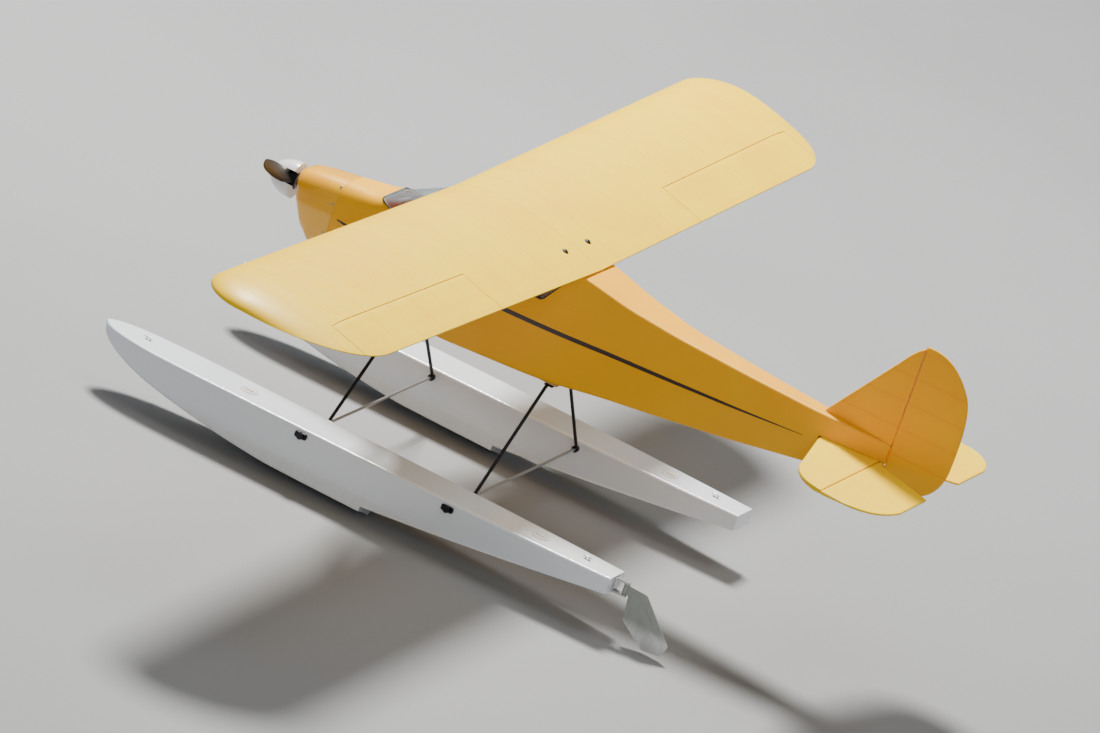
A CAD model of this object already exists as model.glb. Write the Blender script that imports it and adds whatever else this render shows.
import math

import bpy
import numpy as np
from mathutils import Matrix, Vector


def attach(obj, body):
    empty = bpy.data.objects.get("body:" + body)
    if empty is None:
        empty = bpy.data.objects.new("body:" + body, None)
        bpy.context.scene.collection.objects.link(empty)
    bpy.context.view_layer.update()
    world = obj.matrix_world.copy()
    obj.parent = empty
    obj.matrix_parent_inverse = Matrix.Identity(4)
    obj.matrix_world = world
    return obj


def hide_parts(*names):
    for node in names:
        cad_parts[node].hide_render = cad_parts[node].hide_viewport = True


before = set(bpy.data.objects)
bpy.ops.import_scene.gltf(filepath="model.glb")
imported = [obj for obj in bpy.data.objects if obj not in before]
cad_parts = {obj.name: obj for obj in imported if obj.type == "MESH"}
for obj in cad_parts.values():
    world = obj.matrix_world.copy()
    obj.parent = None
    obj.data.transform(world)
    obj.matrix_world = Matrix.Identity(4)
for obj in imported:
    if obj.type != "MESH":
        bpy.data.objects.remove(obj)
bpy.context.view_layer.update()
print("frame loaded:", len(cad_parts), "nodes")

airframe = dict(
    originStation=0.6075,  # station of the row frame's X = 0
    thrustHeight=0.380,
    firewall=0.150,
    tailPost=1.1942,
)
sides = dict(left=-1, right=1)


# Stations, spans and heights as one array of points in the row frame
def place(station, across, height):
    station, across, height = np.broadcast_arrays(station, across, height)
    return np.stack(
        [station - airframe["originStation"], across, height + airframe["thrustHeight"]], -1)


# The vector's direction, as a vector of length one
def unit(vector):
    return vector / np.linalg.norm(vector)


# Meshes: a surface is (points, faces), with the faces as a list of index arrays


# The surface with its faces turned so that its signed volume is positive
def outward(points, faces):
    volume = 0.0
    for face in faces:
        corners = points[face]
        for third in range(2, face.shape[1]):
            cross = np.cross(corners[:, third - 1], corners[:, third])
            volume += np.einsum("ij,ij->", corners[:, 0], cross)
    return points, faces if volume > 0 else [face[:, ::-1] for face in faces]


# Skin through an array of closed rings (ring, point, xyz), facing outwards: quads between
# neighbours and, where its ends are capped, a fan round the mean point of each end ring
def ringSkin(rings, capped=True):
    rings = np.asarray(rings, float)
    count, size = rings.shape[:2]
    points = rings.reshape(-1, 3)
    index = np.arange(count * size).reshape(count, size)
    beside = np.roll(index, -1, 1)
    faces = [np.stack([index[:-1], beside[:-1], beside[1:], index[1:]], -1).reshape(-1, 4)]
    for ring, turn in ((0, 1), (count - 1, -1)) if capped else ():
        middle = np.full(size, len(points))
        points = np.vstack([points, rings[ring].mean(0)])
        faces.append(np.stack([middle, beside[ring], index[ring]][::turn], -1))
    return outward(points, faces)


# Several surfaces as one, with the indices of each moved past those before it
def merged(*surfaces):
    points, faces, start = [], [], 0
    for part, partFaces in surfaces:
        points.append(part)
        faces.extend(face + start for face in partFaces)
        start += len(part)
    return np.vstack(points), faces


# An object with its data in the scene
def inScene(name, data):
    made = bpy.data.objects.new(name, data)
    bpy.context.scene.collection.objects.link(made)
    return made


# A mesh from a surface
def meshOf(name, surface):
    points, faces = surface
    mesh = bpy.data.meshes.new(name)
    mesh.from_pydata(points.tolist(), [], [corners for face in faces for corners in face.tolist()])
    return mesh


# A mesh as a named piece with its finish, its body and the CAD nodes it stands for, smooth
# where neighbouring faces turn by less than the given angle in degrees
def finishPiece(mesh, name, finish, body, smooth, replaces):
    mesh.polygons.foreach_set("use_smooth", np.ones(len(mesh.polygons), bool))
    mesh.set_sharp_from_angle(angle=math.radians(smooth))
    mesh.materials.clear()
    mesh.materials.append(finishes[finish])
    piece = inScene(name, mesh)
    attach(piece, body)
    if replaces:
        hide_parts(*replaces)


# The same, from a surface
def makePiece(name, surface, finish, body="airframe", smooth=35, replaces=()):
    finishPiece(meshOf(name, surface), name, finish, body, smooth, replaces)


# Two unit normals at each point of a path, turned as little as possible from one point to
# the next: each is the last one less its part along the new tangent
def pathNormals(path):
    tangents = np.gradient(path, axis=0)
    tangents /= np.linalg.norm(tangents, axis=1, keepdims=True)
    firsts = np.empty_like(path)
    guide = np.array([0.0, 0.0, 1.0]) if abs(tangents[0][2]) < 0.8 else np.array([0.0, 1.0, 0.0])
    for i, tangent in enumerate(tangents):
        firsts[i] = guide = unit(guide - tangent * (guide @ tangent))
    return firsts, np.cross(tangents, firsts)


# Circles of the given radius carried along a path, or ellipses that are flat times as wide
# along the second normal
def tubeSurface(path, radius, sides, flat=1.0):
    path = np.asarray(path, float)
    first, second = (normal[:, None] for normal in pathNormals(path))
    radius = np.broadcast_to(radius, len(path))[:, None, None]
    angle = np.linspace(0, 2 * np.pi, sides, endpoint=False)[None, :, None]
    return ringSkin(path[:, None] + radius * (np.cos(angle) * first + flat * np.sin(angle) * second))


# A profile of (distance along the axis, radius) turned about the axis from start
def turnedSurface(profile, start, direction, sides, capped=True):
    profile = np.asarray(profile, float)
    axis = unit(np.asarray(direction, float))
    guide = np.array([0.0, 0.0, 1.0]) if abs(axis[2]) < 0.8 else np.array([1.0, 0.0, 0.0])
    first = unit(np.cross(axis, guide))
    second = np.cross(axis, first)
    angle = np.linspace(0, 2 * np.pi, sides, endpoint=False)[None, :, None]
    middle = np.asarray(start, float) + profile[:, :1] * axis
    radius = profile[:, 1][:, None, None]
    rings = middle[:, None] + radius * (np.cos(angle) * first + np.sin(angle) * second)
    return ringSkin(rings, capped)


# The cubic from a to b whose slope is da at its start and db at its end, with t from 0 to 1
def cubicBetween(t, a, b, da, db):
    return ((2 * t**3 - 3 * t**2 + 1) * a + (t**3 - 2 * t**2 + t) * da
            + (3 * t**2 - 2 * t**3) * b + (t**3 - t**2) * db)


# A curve through the points: cubic pieces whose slopes are the means of those either side
def smoothPath(points):
    slopes = np.gradient(points, axis=0)
    t = np.linspace(0, 1, 8, endpoint=False)[:, None]
    legs = zip(points[:-1], points[1:], slopes[:-1], slopes[1:])
    return np.vstack([*(cubicBetween(t, *leg) for leg in legs), points[-1:]])


# 0 below low, 1 above high and a smooth rise between
def fadeBetween(value, low, high):
    share = np.clip((value - low) / (high - low), 0, 1)
    return share * share * (3 - 2 * share)


# Shares from 0 to 1 that crowd together at both ends
def cosineShares(count):
    return (1 - np.cos(np.linspace(0, np.pi, count))) / 2


# Shader maths: a Signal wraps one socket, and an expression on Signals adds its Math nodes
class Signal:
    def __init__(self, finish, socket):
        self.finish = finish
        self.socket = socket

    def maths(self, operation, other, swapped=False):
        first, second = (other, self) if swapped else (self, other)
        return self.finish.node("ShaderNodeMath", {"operation": operation}, {0: first, 1: second})

    def __add__(self, other):
        return self.maths("ADD", other)

    def __radd__(self, other):
        return self.maths("ADD", other, True)

    def __sub__(self, other):
        return self.maths("SUBTRACT", other)

    def __rsub__(self, other):
        return self.maths("SUBTRACT", other, True)

    def __mul__(self, other):
        return self.maths("MULTIPLY", other)

    def __rmul__(self, other):
        return self.maths("MULTIPLY", other, True)

    def __truediv__(self, other):
        return self.maths("DIVIDE", other)

    def __rtruediv__(self, other):
        return self.maths("DIVIDE", other, True)

    def __abs__(self):
        return self.maths("ABSOLUTE", 0.0)

    def fraction(self):
        return self.maths("FRACT", 0.0)

    # The same smooth rise, as a node
    def between(self, low, high):
        values = {"Value": self, "From Min": low, "From Max": high}
        return self.finish.node("ShaderNodeMapRange", {"interpolation_type": "SMOOTHSTEP"}, values)


shaderSockets = dict(
    colour="Base Color", roughness="Roughness", metallic="Metallic", alpha="Alpha",
    coat="Coat Weight", coatRoughness="Coat Roughness", specular="Specular IOR Level",
)


# A material: constants are set straight on the shader's sockets, and use() links the rest
class Finish:
    def __init__(self, name, **constants):
        self.material = bpy.data.materials.new(name)
        self.material.use_nodes = True
        self.tree = self.material.node_tree
        self.shader = self.tree.nodes["Principled BSDF"]
        for socket, value in constants.items():
            self.shader.inputs[shaderSockets[socket]].default_value = value

    # Any node: its settings first, then the values or links of its sockets
    def node(self, kind, settings=None, values=None, output=0):
        made = self.tree.nodes.new(kind)
        for key, value in (settings or {}).items():
            setattr(made, key, value)
        for key, value in (values or {}).items():
            self.feed(made.inputs[key], value)
        return Signal(self, made.outputs[output])

    def feed(self, socket, value):
        if isinstance(value, Signal):
            self.tree.links.new(value.socket, socket)
        else:
            socket.default_value = value

    def spot(self):
        return self.node("ShaderNodeTexCoord", output="Object")

    def axes(self):
        split = self.node("ShaderNodeSeparateXYZ", values={"Vector": self.spot()})
        outputs = split.socket.node.outputs
        return [Signal(self, outputs[axis]) for axis in "XYZ"]

    # Noise at a grain size in metres; stretch multiplies the grain along each axis
    def noise(self, grain, detail=3.0, stretch=(1, 1, 1)):
        scaled = self.node("ShaderNodeMapping", values={
            "Vector": self.spot(), "Scale": [1 / (grain * share) for share in stretch]})
        values = {"Vector": scaled, "Scale": 1.0, "Detail": detail, "Roughness": 0.55}
        return self.node("ShaderNodeTexNoise", values=values)

    def mixed(self, share, first, second):
        values = {0: share, 6: first, 7: second}
        return self.node("ShaderNodeMix", {"data_type": "RGBA"}, values, output=2)

    # A height goes through a Bump node, whose full height stands for depth metres
    def use(self, height=None, depth=None, **feeds):
        for name, value in feeds.items():
            self.feed(self.shader.inputs[shaderSockets[name]], value)
        if height is not None:
            bump = {"Height": height, "Distance": depth, "Strength": 1.0}
            self.feed(self.shader.inputs["Normal"], self.node("ShaderNodeBump", values=bump))
        return self.material


# A screen colour, 0 to 255 a channel, as the linear colour that a shader takes
def screenColour(red, green, blue):
    share = np.array([red, green, blue]) / 255
    linear = np.where(share <= 0.04045, share / 12.92, ((share + 0.055) / 1.055) ** 2.4)
    return (*linear.tolist(), 1.0)


palette = dict(
    wingYellow=screenColour(248, 208, 2),
    wingYellowDeep=screenColour(242, 172, 0),
    yellow=screenColour(248, 180, 0),
    yellowDeep=screenColour(240, 148, 0),
    white=screenColour(232, 238, 246),
    stain=screenColour(196, 190, 160),
    black=screenColour(24, 24, 26),
    blackWorn=screenColour(62, 62, 64),
    stripe=screenColour(44, 22, 14),
    steel=screenColour(190, 190, 194),
    steelDark=screenColour(112, 108, 104),
    wire=screenColour(52, 52, 56),
    plywood=screenColour(205, 165, 110),
    plywoodGrain=screenColour(164, 118, 70),
    oil=screenColour(92, 62, 24),
)
covering = dict(ribWidth=0.0032, ribShade=0.35, wrinkleDepth=0.00035)


# Iron-on covering: dull ribs under it, a slow change of tone, fine wrinkles and a soft gloss
def coveringFinish(name, shade="yellow", ribSpacing=None, ribAxis=1, grime=None):
    film = Finish(name, coat=0.14, coatRoughness=0.3, specular=0.2)
    tone = film.noise(0.16, 2.0).between(0.3, 0.75) * 0.3
    colour = film.mixed(tone, palette[shade], palette[shade + "Deep"])
    if ribSpacing:
        along = film.axes()[ribAxis]
        toRib = abs((abs(along) / ribSpacing + 0.5).fraction() - 0.5) * ribSpacing
        rib = 1 - toRib.between(covering["ribWidth"] * 0.35, covering["ribWidth"])
        colour = film.mixed(rib * covering["ribShade"], colour, palette[shade + "Deep"])
    if grime:
        smudge = grime(film) * film.noise(0.03, 4.0).between(0.3, 0.75)
        colour = film.mixed(smudge, colour, palette["oil"])
    wrinkles = film.noise(0.022, 3.0, (2.5, 1, 1)) + film.noise(0.0022, 2.0) * 0.12
    roughness = 0.4 + film.noise(0.05) * 0.12
    return film.use(colour=colour, roughness=roughness, height=wrinkles, depth=covering["wrinkleDepth"])


# Painted moulded shell: yellow gloss with faint orange peel and oil mist behind the outlet
def shellFinish():
    paint = Finish("yellowShell", coat=0.8, coatRoughness=0.06, specular=0.5)
    _, _, height = paint.axes()
    mist = (1 - height.between(0.292, 0.335)) * paint.noise(0.012, 4.0).between(0.35, 0.8) * 0.45
    deeper = paint.noise(0.08, 2.0).between(0.4, 0.7) * 0.3
    tone = paint.mixed(deeper, palette["yellow"], palette["yellowDeep"])
    return paint.use(colour=paint.mixed(mist, tone, palette["oil"]), depth=0.00006,
                     roughness=0.24 + paint.noise(0.02) * 0.1, height=paint.noise(0.0016, 1.0))


# Brushed paint over a wooden strut, with the grain showing through a little
def strutPaintFinish():
    paint = Finish("strutPaint", coat=0.6, coatRoughness=0.12)
    grain = paint.noise(0.003, 3.0, (1, 12, 3))
    colour = paint.mixed(grain.between(0.35, 0.75), palette["yellow"], palette["yellowDeep"])
    return paint.use(colour=colour, roughness=0.3 + grain * 0.12, height=grain, depth=0.0001)


# White float skin: gloss, a faint stain round its lower part and scuffs along the keel
def floatFinish():
    skin = Finish("whiteFloat", coat=0.7, coatRoughness=0.08, specular=0.5)
    _, _, height = skin.axes()
    wander = skin.noise(0.05) * 0.012
    wet = 1 - (height + wander).between(0.044, 0.058)
    runs = skin.noise(0.004, 4.0, (1, 1, 12)).between(0.45, 0.8)
    stained = skin.mixed(wet * (0.18 + runs * 0.16), palette["white"], palette["stain"])
    scuffs = skin.noise(0.006, 5.0, (9, 1, 1)).between(0.62, 0.78) * (1 - height.between(0.012, 0.05))
    colour = skin.mixed(scuffs * 0.3, stained, palette["blackWorn"])
    roughness = 0.2 + wet * 0.14 + skin.noise(0.03) * 0.1
    peel = skin.noise(0.0035, 1.0) * 0.3 + skin.noise(0.06, 1.0)
    return skin.use(colour=colour, roughness=roughness, height=peel, depth=0.0003)


# White moulded plastic with a few stained flecks
def spinnerFinish(name="whiteSpinner"):
    shell = Finish(name, coat=0.6, coatRoughness=0.07)
    flecks = shell.noise(0.004, 4.0).between(0.6, 0.8)
    colour = shell.mixed(flecks * 0.25, screenColour(228, 226, 222), palette["stain"])
    return shell.use(colour=colour, roughness=0.22 + flecks * 0.2,
                     height=shell.noise(0.001, 1.0), depth=0.00003)


# Black plastic, paler and duller where it is worn
def blackFinish(name="blackPlastic", dullness=0.42):
    moulding = Finish(name, specular=0.45)
    wear = moulding.noise(0.003, 5.0).between(0.6, 0.85)
    colour = moulding.mixed(wear * 0.45, palette["black"], palette["blackWorn"])
    return moulding.use(colour=colour, roughness=dullness + wear * 0.2,
                        height=moulding.noise(0.0006, 2.0), depth=0.00005)


# Drawn metal: fine lines along the aeroplane's width and spots where it has tarnished
def steelFinish(name="brightSteel", colour="steel", dark="steelDark", rough=0.24):
    metal = Finish(name)
    drawn = metal.noise(0.0012, 4.0, (1, 18, 1))
    spots = metal.noise(0.008, 5.0).between(0.6, 0.8)
    tone = metal.mixed(spots * 0.5, palette[colour], palette[dark])
    return metal.use(colour=tone, metallic=0.95 - spots * 0.25, height=drawn, depth=0.00004,
                     roughness=rough + drawn * 0.14 + spots * 0.2)


# Bare plywood with its grain along the aeroplane
def plywoodFinish():
    wood = Finish("plywood", specular=0.3)
    grain = wood.noise(0.0022, 5.0, (16, 1.5, 1.5))
    colour = wood.mixed(grain.between(0.35, 0.7), palette["plywood"], palette["plywoodGrain"])
    return wood.use(colour=colour, roughness=0.62 + grain * 0.15, height=grain, depth=0.00018)


# Thin clear sheet: hazier in spots and less see-through where it is seen aslant
def clearFinish():
    pane = Finish("clearPane", specular=0.7, coat=0.4, coatRoughness=0.03)
    facing = pane.node("ShaderNodeLayerWeight", values={"Blend": 0.35}, output="Facing")
    haze = pane.noise(0.02, 4.0)
    colour = pane.mixed(haze.between(0.4, 0.8), screenColour(120, 140, 148),
                        screenColour(168, 182, 186))
    return pane.use(colour=colour, alpha=0.14 + facing * 0.4 + haze * 0.05,
                    roughness=0.03 + haze * 0.05)


# Dark trim film, rubbed in places
def stripeFinish():
    film = Finish("darkStripe", coat=0.5, coatRoughness=0.1)
    wear = film.noise(0.01, 4.0).between(0.55, 0.8)
    colour = film.mixed(wear * 0.3, palette["stripe"], palette["oil"])
    return film.use(colour=colour, roughness=0.3 + wear * 0.15, height=film.noise(0.004), depth=0.0001)


# Cast alloy with baked-on soot
def engineFinish():
    casting = Finish("engineAlloy")
    grain = casting.noise(0.0012, 5.0)
    soot = casting.noise(0.018, 4.0).between(0.45, 0.75)
    colour = casting.mixed(soot * 0.7, screenColour(168, 168, 170), screenColour(70, 58, 44))
    return casting.use(colour=colour, metallic=0.9 - soot * 0.4, roughness=0.42 + grain * 0.2,
                       height=grain, depth=0.0003)


# Blue shrink wrap with small crinkles
def batteryFinish():
    wrap = Finish("batteryWrap", coat=0.6, coatRoughness=0.1)
    crinkle = wrap.noise(0.005, 4.0)
    colour = wrap.mixed(crinkle.between(0.4, 0.7), screenColour(38, 84, 150),
                        screenColour(58, 108, 176))
    return wrap.use(colour=colour, roughness=0.28 + crinkle * 0.15, height=crinkle, depth=0.0003)


# Grey anodised plate, paler towards its lower end, with faint upright streaks
def rudderGreyFinish():
    plate = Finish("rudderGrey", coat=0.2, coatRoughness=0.2)
    _, _, height = plate.axes()
    streaks = plate.noise(0.004, 4.0, (1, 1, 8)).between(0.4, 0.75)
    low = 1 - (height + plate.noise(0.02) * 0.01).between(0.030, 0.052)
    colour = plate.mixed(low * 0.85, screenColour(150, 156, 150), screenColour(236, 237, 235))
    colour = plate.mixed(streaks * 0.25, colour, palette["steelDark"])
    return plate.use(colour=colour, roughness=0.36 + streaks * 0.14,
                     height=plate.noise(0.0012, 3.0, (1, 1, 10)), depth=0.00004)


# Oil mist on the belly behind the exhaust, thinning out aft
def bellyGrime(film):
    station, across, height = film.axes()
    low = 1 - height.between(0.268, 0.30)
    aft = 1 - station.between(-0.45, 0.15)
    return low * aft * across.between(-0.06, 0.06) * 0.6


finishes = dict(
    wingFilm=coveringFinish("wingFilm", "wingYellow", ribSpacing=0.0775),
    tailFilm=coveringFinish("tailFilm", "wingYellow"),
    bodyFilm=coveringFinish("bodyFilm", grime=bellyGrime),
    shell=shellFinish(),
    strutPaint=strutPaintFinish(),
    floats=floatFinish(),
    spinner=spinnerFinish(),
    black=blackFinish(),
    rubber=blackFinish("blackRubber", 0.62),
    steel=steelFinish(),
    wire=steelFinish("darkWire", "wire", "black", 0.34),
    exhaust=steelFinish("exhaustSteel", "steel", "oil", 0.3),
    plywood=plywoodFinish(),
    clear=clearFinish(),
    stripe=stripeFinish(),
    engine=engineFinish(),
    battery=batteryFinish(),
    rudderGrey=rudderGreyFinish(),
    floatFitting=spinnerFinish("floatFitting"),
    finFilm=coveringFinish("finFilm", ribSpacing=0.046, ribAxis=2),
)
print("finishes made:", len(finishes))

# Wing: the section and its tip follow the part's solid; between ribs the film sags a little
wing = dict(
    halfSpan=1.0,
    chord=0.298,
    station=0.315,
    height=0.112,
    dihedralRise=math.tan(math.radians(1.5)),
    incidence=math.radians(3),
    thickness=0.12,
    camber=0.04,
    camberPlace=0.4,
    edgeHalf=0.0006,
    tipFront=(0.910, 0.3),
    tipRear=(0.840, 0.7),
    ribSpacing=0.0775,
    sag=0.0011,
    spar=0.3,
    frontSheet=(0.10, 0.17),  # shares of the chord over which the film's sag begins
    rearSheet=(0.90, 0.96),
    rootSheet=(0.07, 0.10),  # and the same along the span
    tipSheet=(0.90, 0.95),
    rootGap=0.00015,
    endFace=0.0002,  # the span over which the skin steps into the aileron's bay
    ringStep=0.0055,
)
aileron = dict(
    inner=0.400,
    outer=0.900,
    hinge=0.72,
    endGap=0.0015,
    gap=0.0008,
    slot=0.36,
)


# Half thickness of the wing section behind its nose, both in chords: a square root, which
# makes the nose round, and four powers
def halfThickness(share):
    curve = (0.2969 * np.sqrt(share) - 0.126 * share - 0.3516 * share**2
             + 0.2843 * share**3 - 0.1015 * share**4)
    return 5 * wing["thickness"] * curve


# The mean line: one parabola ahead of the highest camber and another behind it
def camberLine(share):
    top = wing["camberPlace"]
    front = wing["camber"] / top**2 * (2 * top * share - share**2)
    rear = wing["camber"] / (1 - top) ** 2 * (1 - 2 * top + 2 * top * share - share**2)
    return np.where(share < top, front, rear)


# How far the tip has drawn in an edge: a quarter ellipse just past the half span
def tipInset(span, tip):
    start, share = tip
    reach = np.clip((span - start) / (wing["halfSpan"] + 0.001 - start), 0, 1)
    return share * wing["chord"] * (1 - np.sqrt(1 - reach**2))


# Film drawn in between ribs by a cosine, none over the leading sheet, the spars and the edges
def filmSag(span, share):
    bay = np.abs(np.cos(np.pi * span / wing["ribSpacing"])) ** 0.8
    bays = fadeBetween(share, *wing["frontSheet"]) * (1 - fadeBetween(share, *wing["rearSheet"]))
    spar = 1 - 0.75 * np.exp(-(((share - wing["spar"]) / 0.018) ** 2))
    beside = fadeBetween(span, aileron["inner"] - 0.02, aileron["inner"])
    beside = beside * (1 - fadeBetween(span, aileron["outer"], aileron["outer"] + 0.02))
    hingeSpar = 1 - beside * np.exp(-(((share - aileron["hinge"]) / 0.05) ** 2))
    covered = fadeBetween(span, *wing["rootSheet"]) * (1 - fadeBetween(span, *wing["tipSheet"]))
    return wing["sag"] * bay * bays * spar * hingeSpar * covered


# How far the leading edge is drawn in at a span, and the chord that is left there
def chordAt(span):
    lead = tipInset(span, wing["tipFront"])
    return lead, wing["chord"] - lead - tipInset(span, wing["tipRear"])


# Points of the wing's skin: side is -1 or 1, top is 1 above and -1 below
def wingSkin(side, span, share, top):
    lead, chord = chordAt(span)
    half = halfThickness(share) * wing["chord"] + wing["edgeHalf"] * share - filmSag(span, share)
    height = (camberLine(share) * wing["chord"] + top * half) * chord / wing["chord"]
    return onWing(side, lead + share * chord, span, height)


# Wing coordinates (behind the root's leading edge, out along the span, up) in the row frame
def onWing(side, back, span, height):
    risen = height + span * wing["dihedralRise"]
    turn = wing["incidence"]
    station = wing["station"] + back * math.cos(turn) + risen * math.sin(turn)
    up = wing["height"] - back * math.sin(turn) + risen * math.cos(turn)
    return place(station, side * span, up)


# Place of the aileron's hinge line in the section at each span: its share of the drawn-in
# chord, the mean line's height there and half the thickness
def hingeAt(span):
    lead, chord = chordAt(span)
    share = (aileron["hinge"] * wing["chord"] - lead) / chord
    half = halfThickness(share) * chord + wing["edgeHalf"] * share * chord / wing["chord"]
    return share, camberLine(share) * chord, half


# Spans close enough together for the sag to read as bays
def wingSpans(first, last):
    return np.linspace(first, last, max(2, round((last - first) / wing["ringStep"]) + 1))


# A panel ring by ring: top from the rear to the nose, bottom back to the rear, then the
# closing face, which is flat at the trailing edge and hollow along the aileron's bay
def wingPanel(side):
    inner = aileron["inner"] - aileron["endGap"]
    outer = aileron["outer"] + aileron["endGap"]
    tipStart = outer + wing["endFace"]
    tip = tipStart + np.sin(np.linspace(0, np.pi / 2, 26)) * (wing["halfSpan"] - tipStart)
    stretches = [(wingSpans(wing["rootGap"], inner - wing["endFace"]), False),
                 (wingSpans(inner, outer), True), (tip, False)]
    nose = cosineShares(34)
    rings = []
    for spans, bay in stretches:
        span = spans[:, None]
        hingeShare, middle, radius = hingeAt(span)
        radius = radius + aileron["gap"]
        end = hingeShare - aileron["slot"] * radius / wing["chord"] if bay else 1.0
        share = np.where(nose < 0.6, nose, 0.6 + (nose - 0.6) * (end - 0.6) / 0.4) + np.zeros_like(span)
        upper = wingSkin(side, span, share[:, ::-1], 1)
        lower = wingSkin(side, span, share[:, 1:], -1)
        closing = np.linspace(0, 1, 9)[None, 1:-1]
        low, high = lower[:, -1:], upper[:, :1]
        face = low + (high - low) * closing[..., None]
        if bay:
            angle = (2 * closing - 1) * math.acos(aileron["slot"])
            back = aileron["hinge"] * wing["chord"] - radius * np.cos(angle)
            face = onWing(side, back, span, middle + radius * np.sin(angle))
        rings.append(np.concatenate([upper, lower, face], 1))
    return ringSkin(np.concatenate(rings))


# The aileron: a half-round nose about the hinge line and the wing's section behind it
def aileronSurface(side):
    spans = wingSpans(aileron["inner"], aileron["outer"])[:, None]
    share, middle, radius = hingeAt(spans)
    behind = share + (1 - share) * np.linspace(0, 1, 15)[None, :]
    upper = wingSkin(side, spans, behind[:, ::-1], 1)
    lower = wingSkin(side, spans, behind, -1)
    angle = np.linspace(np.pi / 2, -np.pi / 2, 15)[None, 1:-1]
    back = aileron["hinge"] * wing["chord"] - radius * np.cos(angle)
    nose = onWing(side, back, spans, middle + radius * np.sin(angle))
    return ringSkin(np.concatenate([upper, nose, lower], 1))


for sideName, side in sides.items():
    makePiece(f"wing_panel_{sideName}", wingPanel(side), "wingFilm",
              replaces=[f"wing_{sideName}"])
    makePiece(f"aileron_skin_{sideName}", aileronSurface(side), "wingFilm",
              f"aileron_{sideName}", replaces=[f"aileron_{sideName}"])
print("wings and ailerons made")


# Smooth curve through (x, y) rows with no overshoot: cubic pieces whose end slopes are
# the harmonic means of the slopes on either side, and zero where those change sign
def eased(where, xs, ys):
    xs, ys = np.asarray(xs, float), np.asarray(ys, float)
    step = np.diff(xs)
    rise = np.diff(ys) / step
    slope = np.concatenate([rise[:1], np.zeros(len(xs) - 2), rise[-1:]])
    same = rise[:-1] * rise[1:] > 0
    slope[1:-1][same] = 2 * rise[:-1][same] * rise[1:][same] / (rise[:-1][same] + rise[1:][same])
    where = np.asarray(where, float)
    cell = np.clip(np.searchsorted(xs, where) - 1, 0, len(xs) - 2)
    t = (where - xs[cell]) / step[cell]
    slopes = step[cell] * slope[cell], step[cell] * slope[cell + 1]
    return cubicBetween(t, ys[cell], ys[cell + 1], *slopes)


# Rows in millimetres as named columns in metres
def tableOf(names, *rows):
    return dict(zip(names, np.array(rows, float).T / 1000))


# A table's columns at some stations, each eased between its rows
def tableAt(table, stations):
    return {name: eased(stations, table["x"], rows)[:, None] for name, rows in table.items()}


# Tail surfaces: outlines by span, rounded edges, and film drawn in between the frame's ribs
tail = dict(
    half=0.004,
    stabilizerHeight=0.010,
    halfSpan=0.251,
    stabilizerTip=0.2492,
    middleGap=0.0001,
    elevatorRoot=0.0144,
    elevatorInner=0.066,  # where its slanting inner edge meets the trailing edge
    elevatorHinge=1.190,
    joinerHalf=0.022,
    joinerRadius=0.003,
    finFoot=0.0435,
    finTip=0.2278,
    rudderFoot=-0.027,
    rudderFootEnd=-0.019,
    rudderTip=0.2300,
    rudderHinge=1.199,
    gap=0.0008,
    tipGap=0.0003,
    leastChord=0.0004,
    trailingHalf=0.0019,
    ribSpacing=0.046,
    sag=0.0005,
    edge=0.0038,
    tipRound=0.012,
    frameEdge=(0.010, 0.018),  # the film's sag begins this far in from the front and tip
    rearEdge=(0.009, 0.016),
)


# A curve drawn by its control points: neighbouring points are blended until one is left
def bezier(*controls, steps=24):
    points = [np.array(point, float)[None, :] for point in controls]
    t = np.linspace(0, 1, steps)[:, None]
    while len(points) > 1:
        points = [(1 - t) * a + t * b for a, b in zip(points[:-1], points[1:])]
    return points[0]


tailLead = np.vstack([
    [(0.0, 1.080), (0.030, 1.080)],
    bezier((0.186, 1.115), (0.251, 1.140), (0.2511, 1.205)),
])
tailRear = np.vstack([
    [(0.014, 1.192), (0.0676, 1.305), (0.175, 1.305)],
    bezier((0.175, 1.305), (0.251, 1.292), (0.2511, 1.222)),
])
finLead = np.vstack([[(0.030, 1.050)], bezier((0.187, 1.161), (0.224, 1.184), (0.2295, 1.204))])
rudderRear = np.vstack([
    bezier((-0.0270, 1.222), (-0.024, 1.268), (-0.004, 1.299), (0.045, 1.304)),
    bezier((0.045, 1.304), (0.100, 1.306), (0.160, 1.306), (0.186, 1.283)),
    bezier((0.186, 1.283), (0.214, 1.262), (0.2298, 1.236), (0.2300, 1.208)),
])


# 0 at an edge rising to 1 at its radius, as a quarter circle
def edgeRound(distance, radius):
    return np.sqrt(np.clip(1 - (1 - np.clip(distance / radius, 0, 1)) ** 2, 0, 1))


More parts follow.
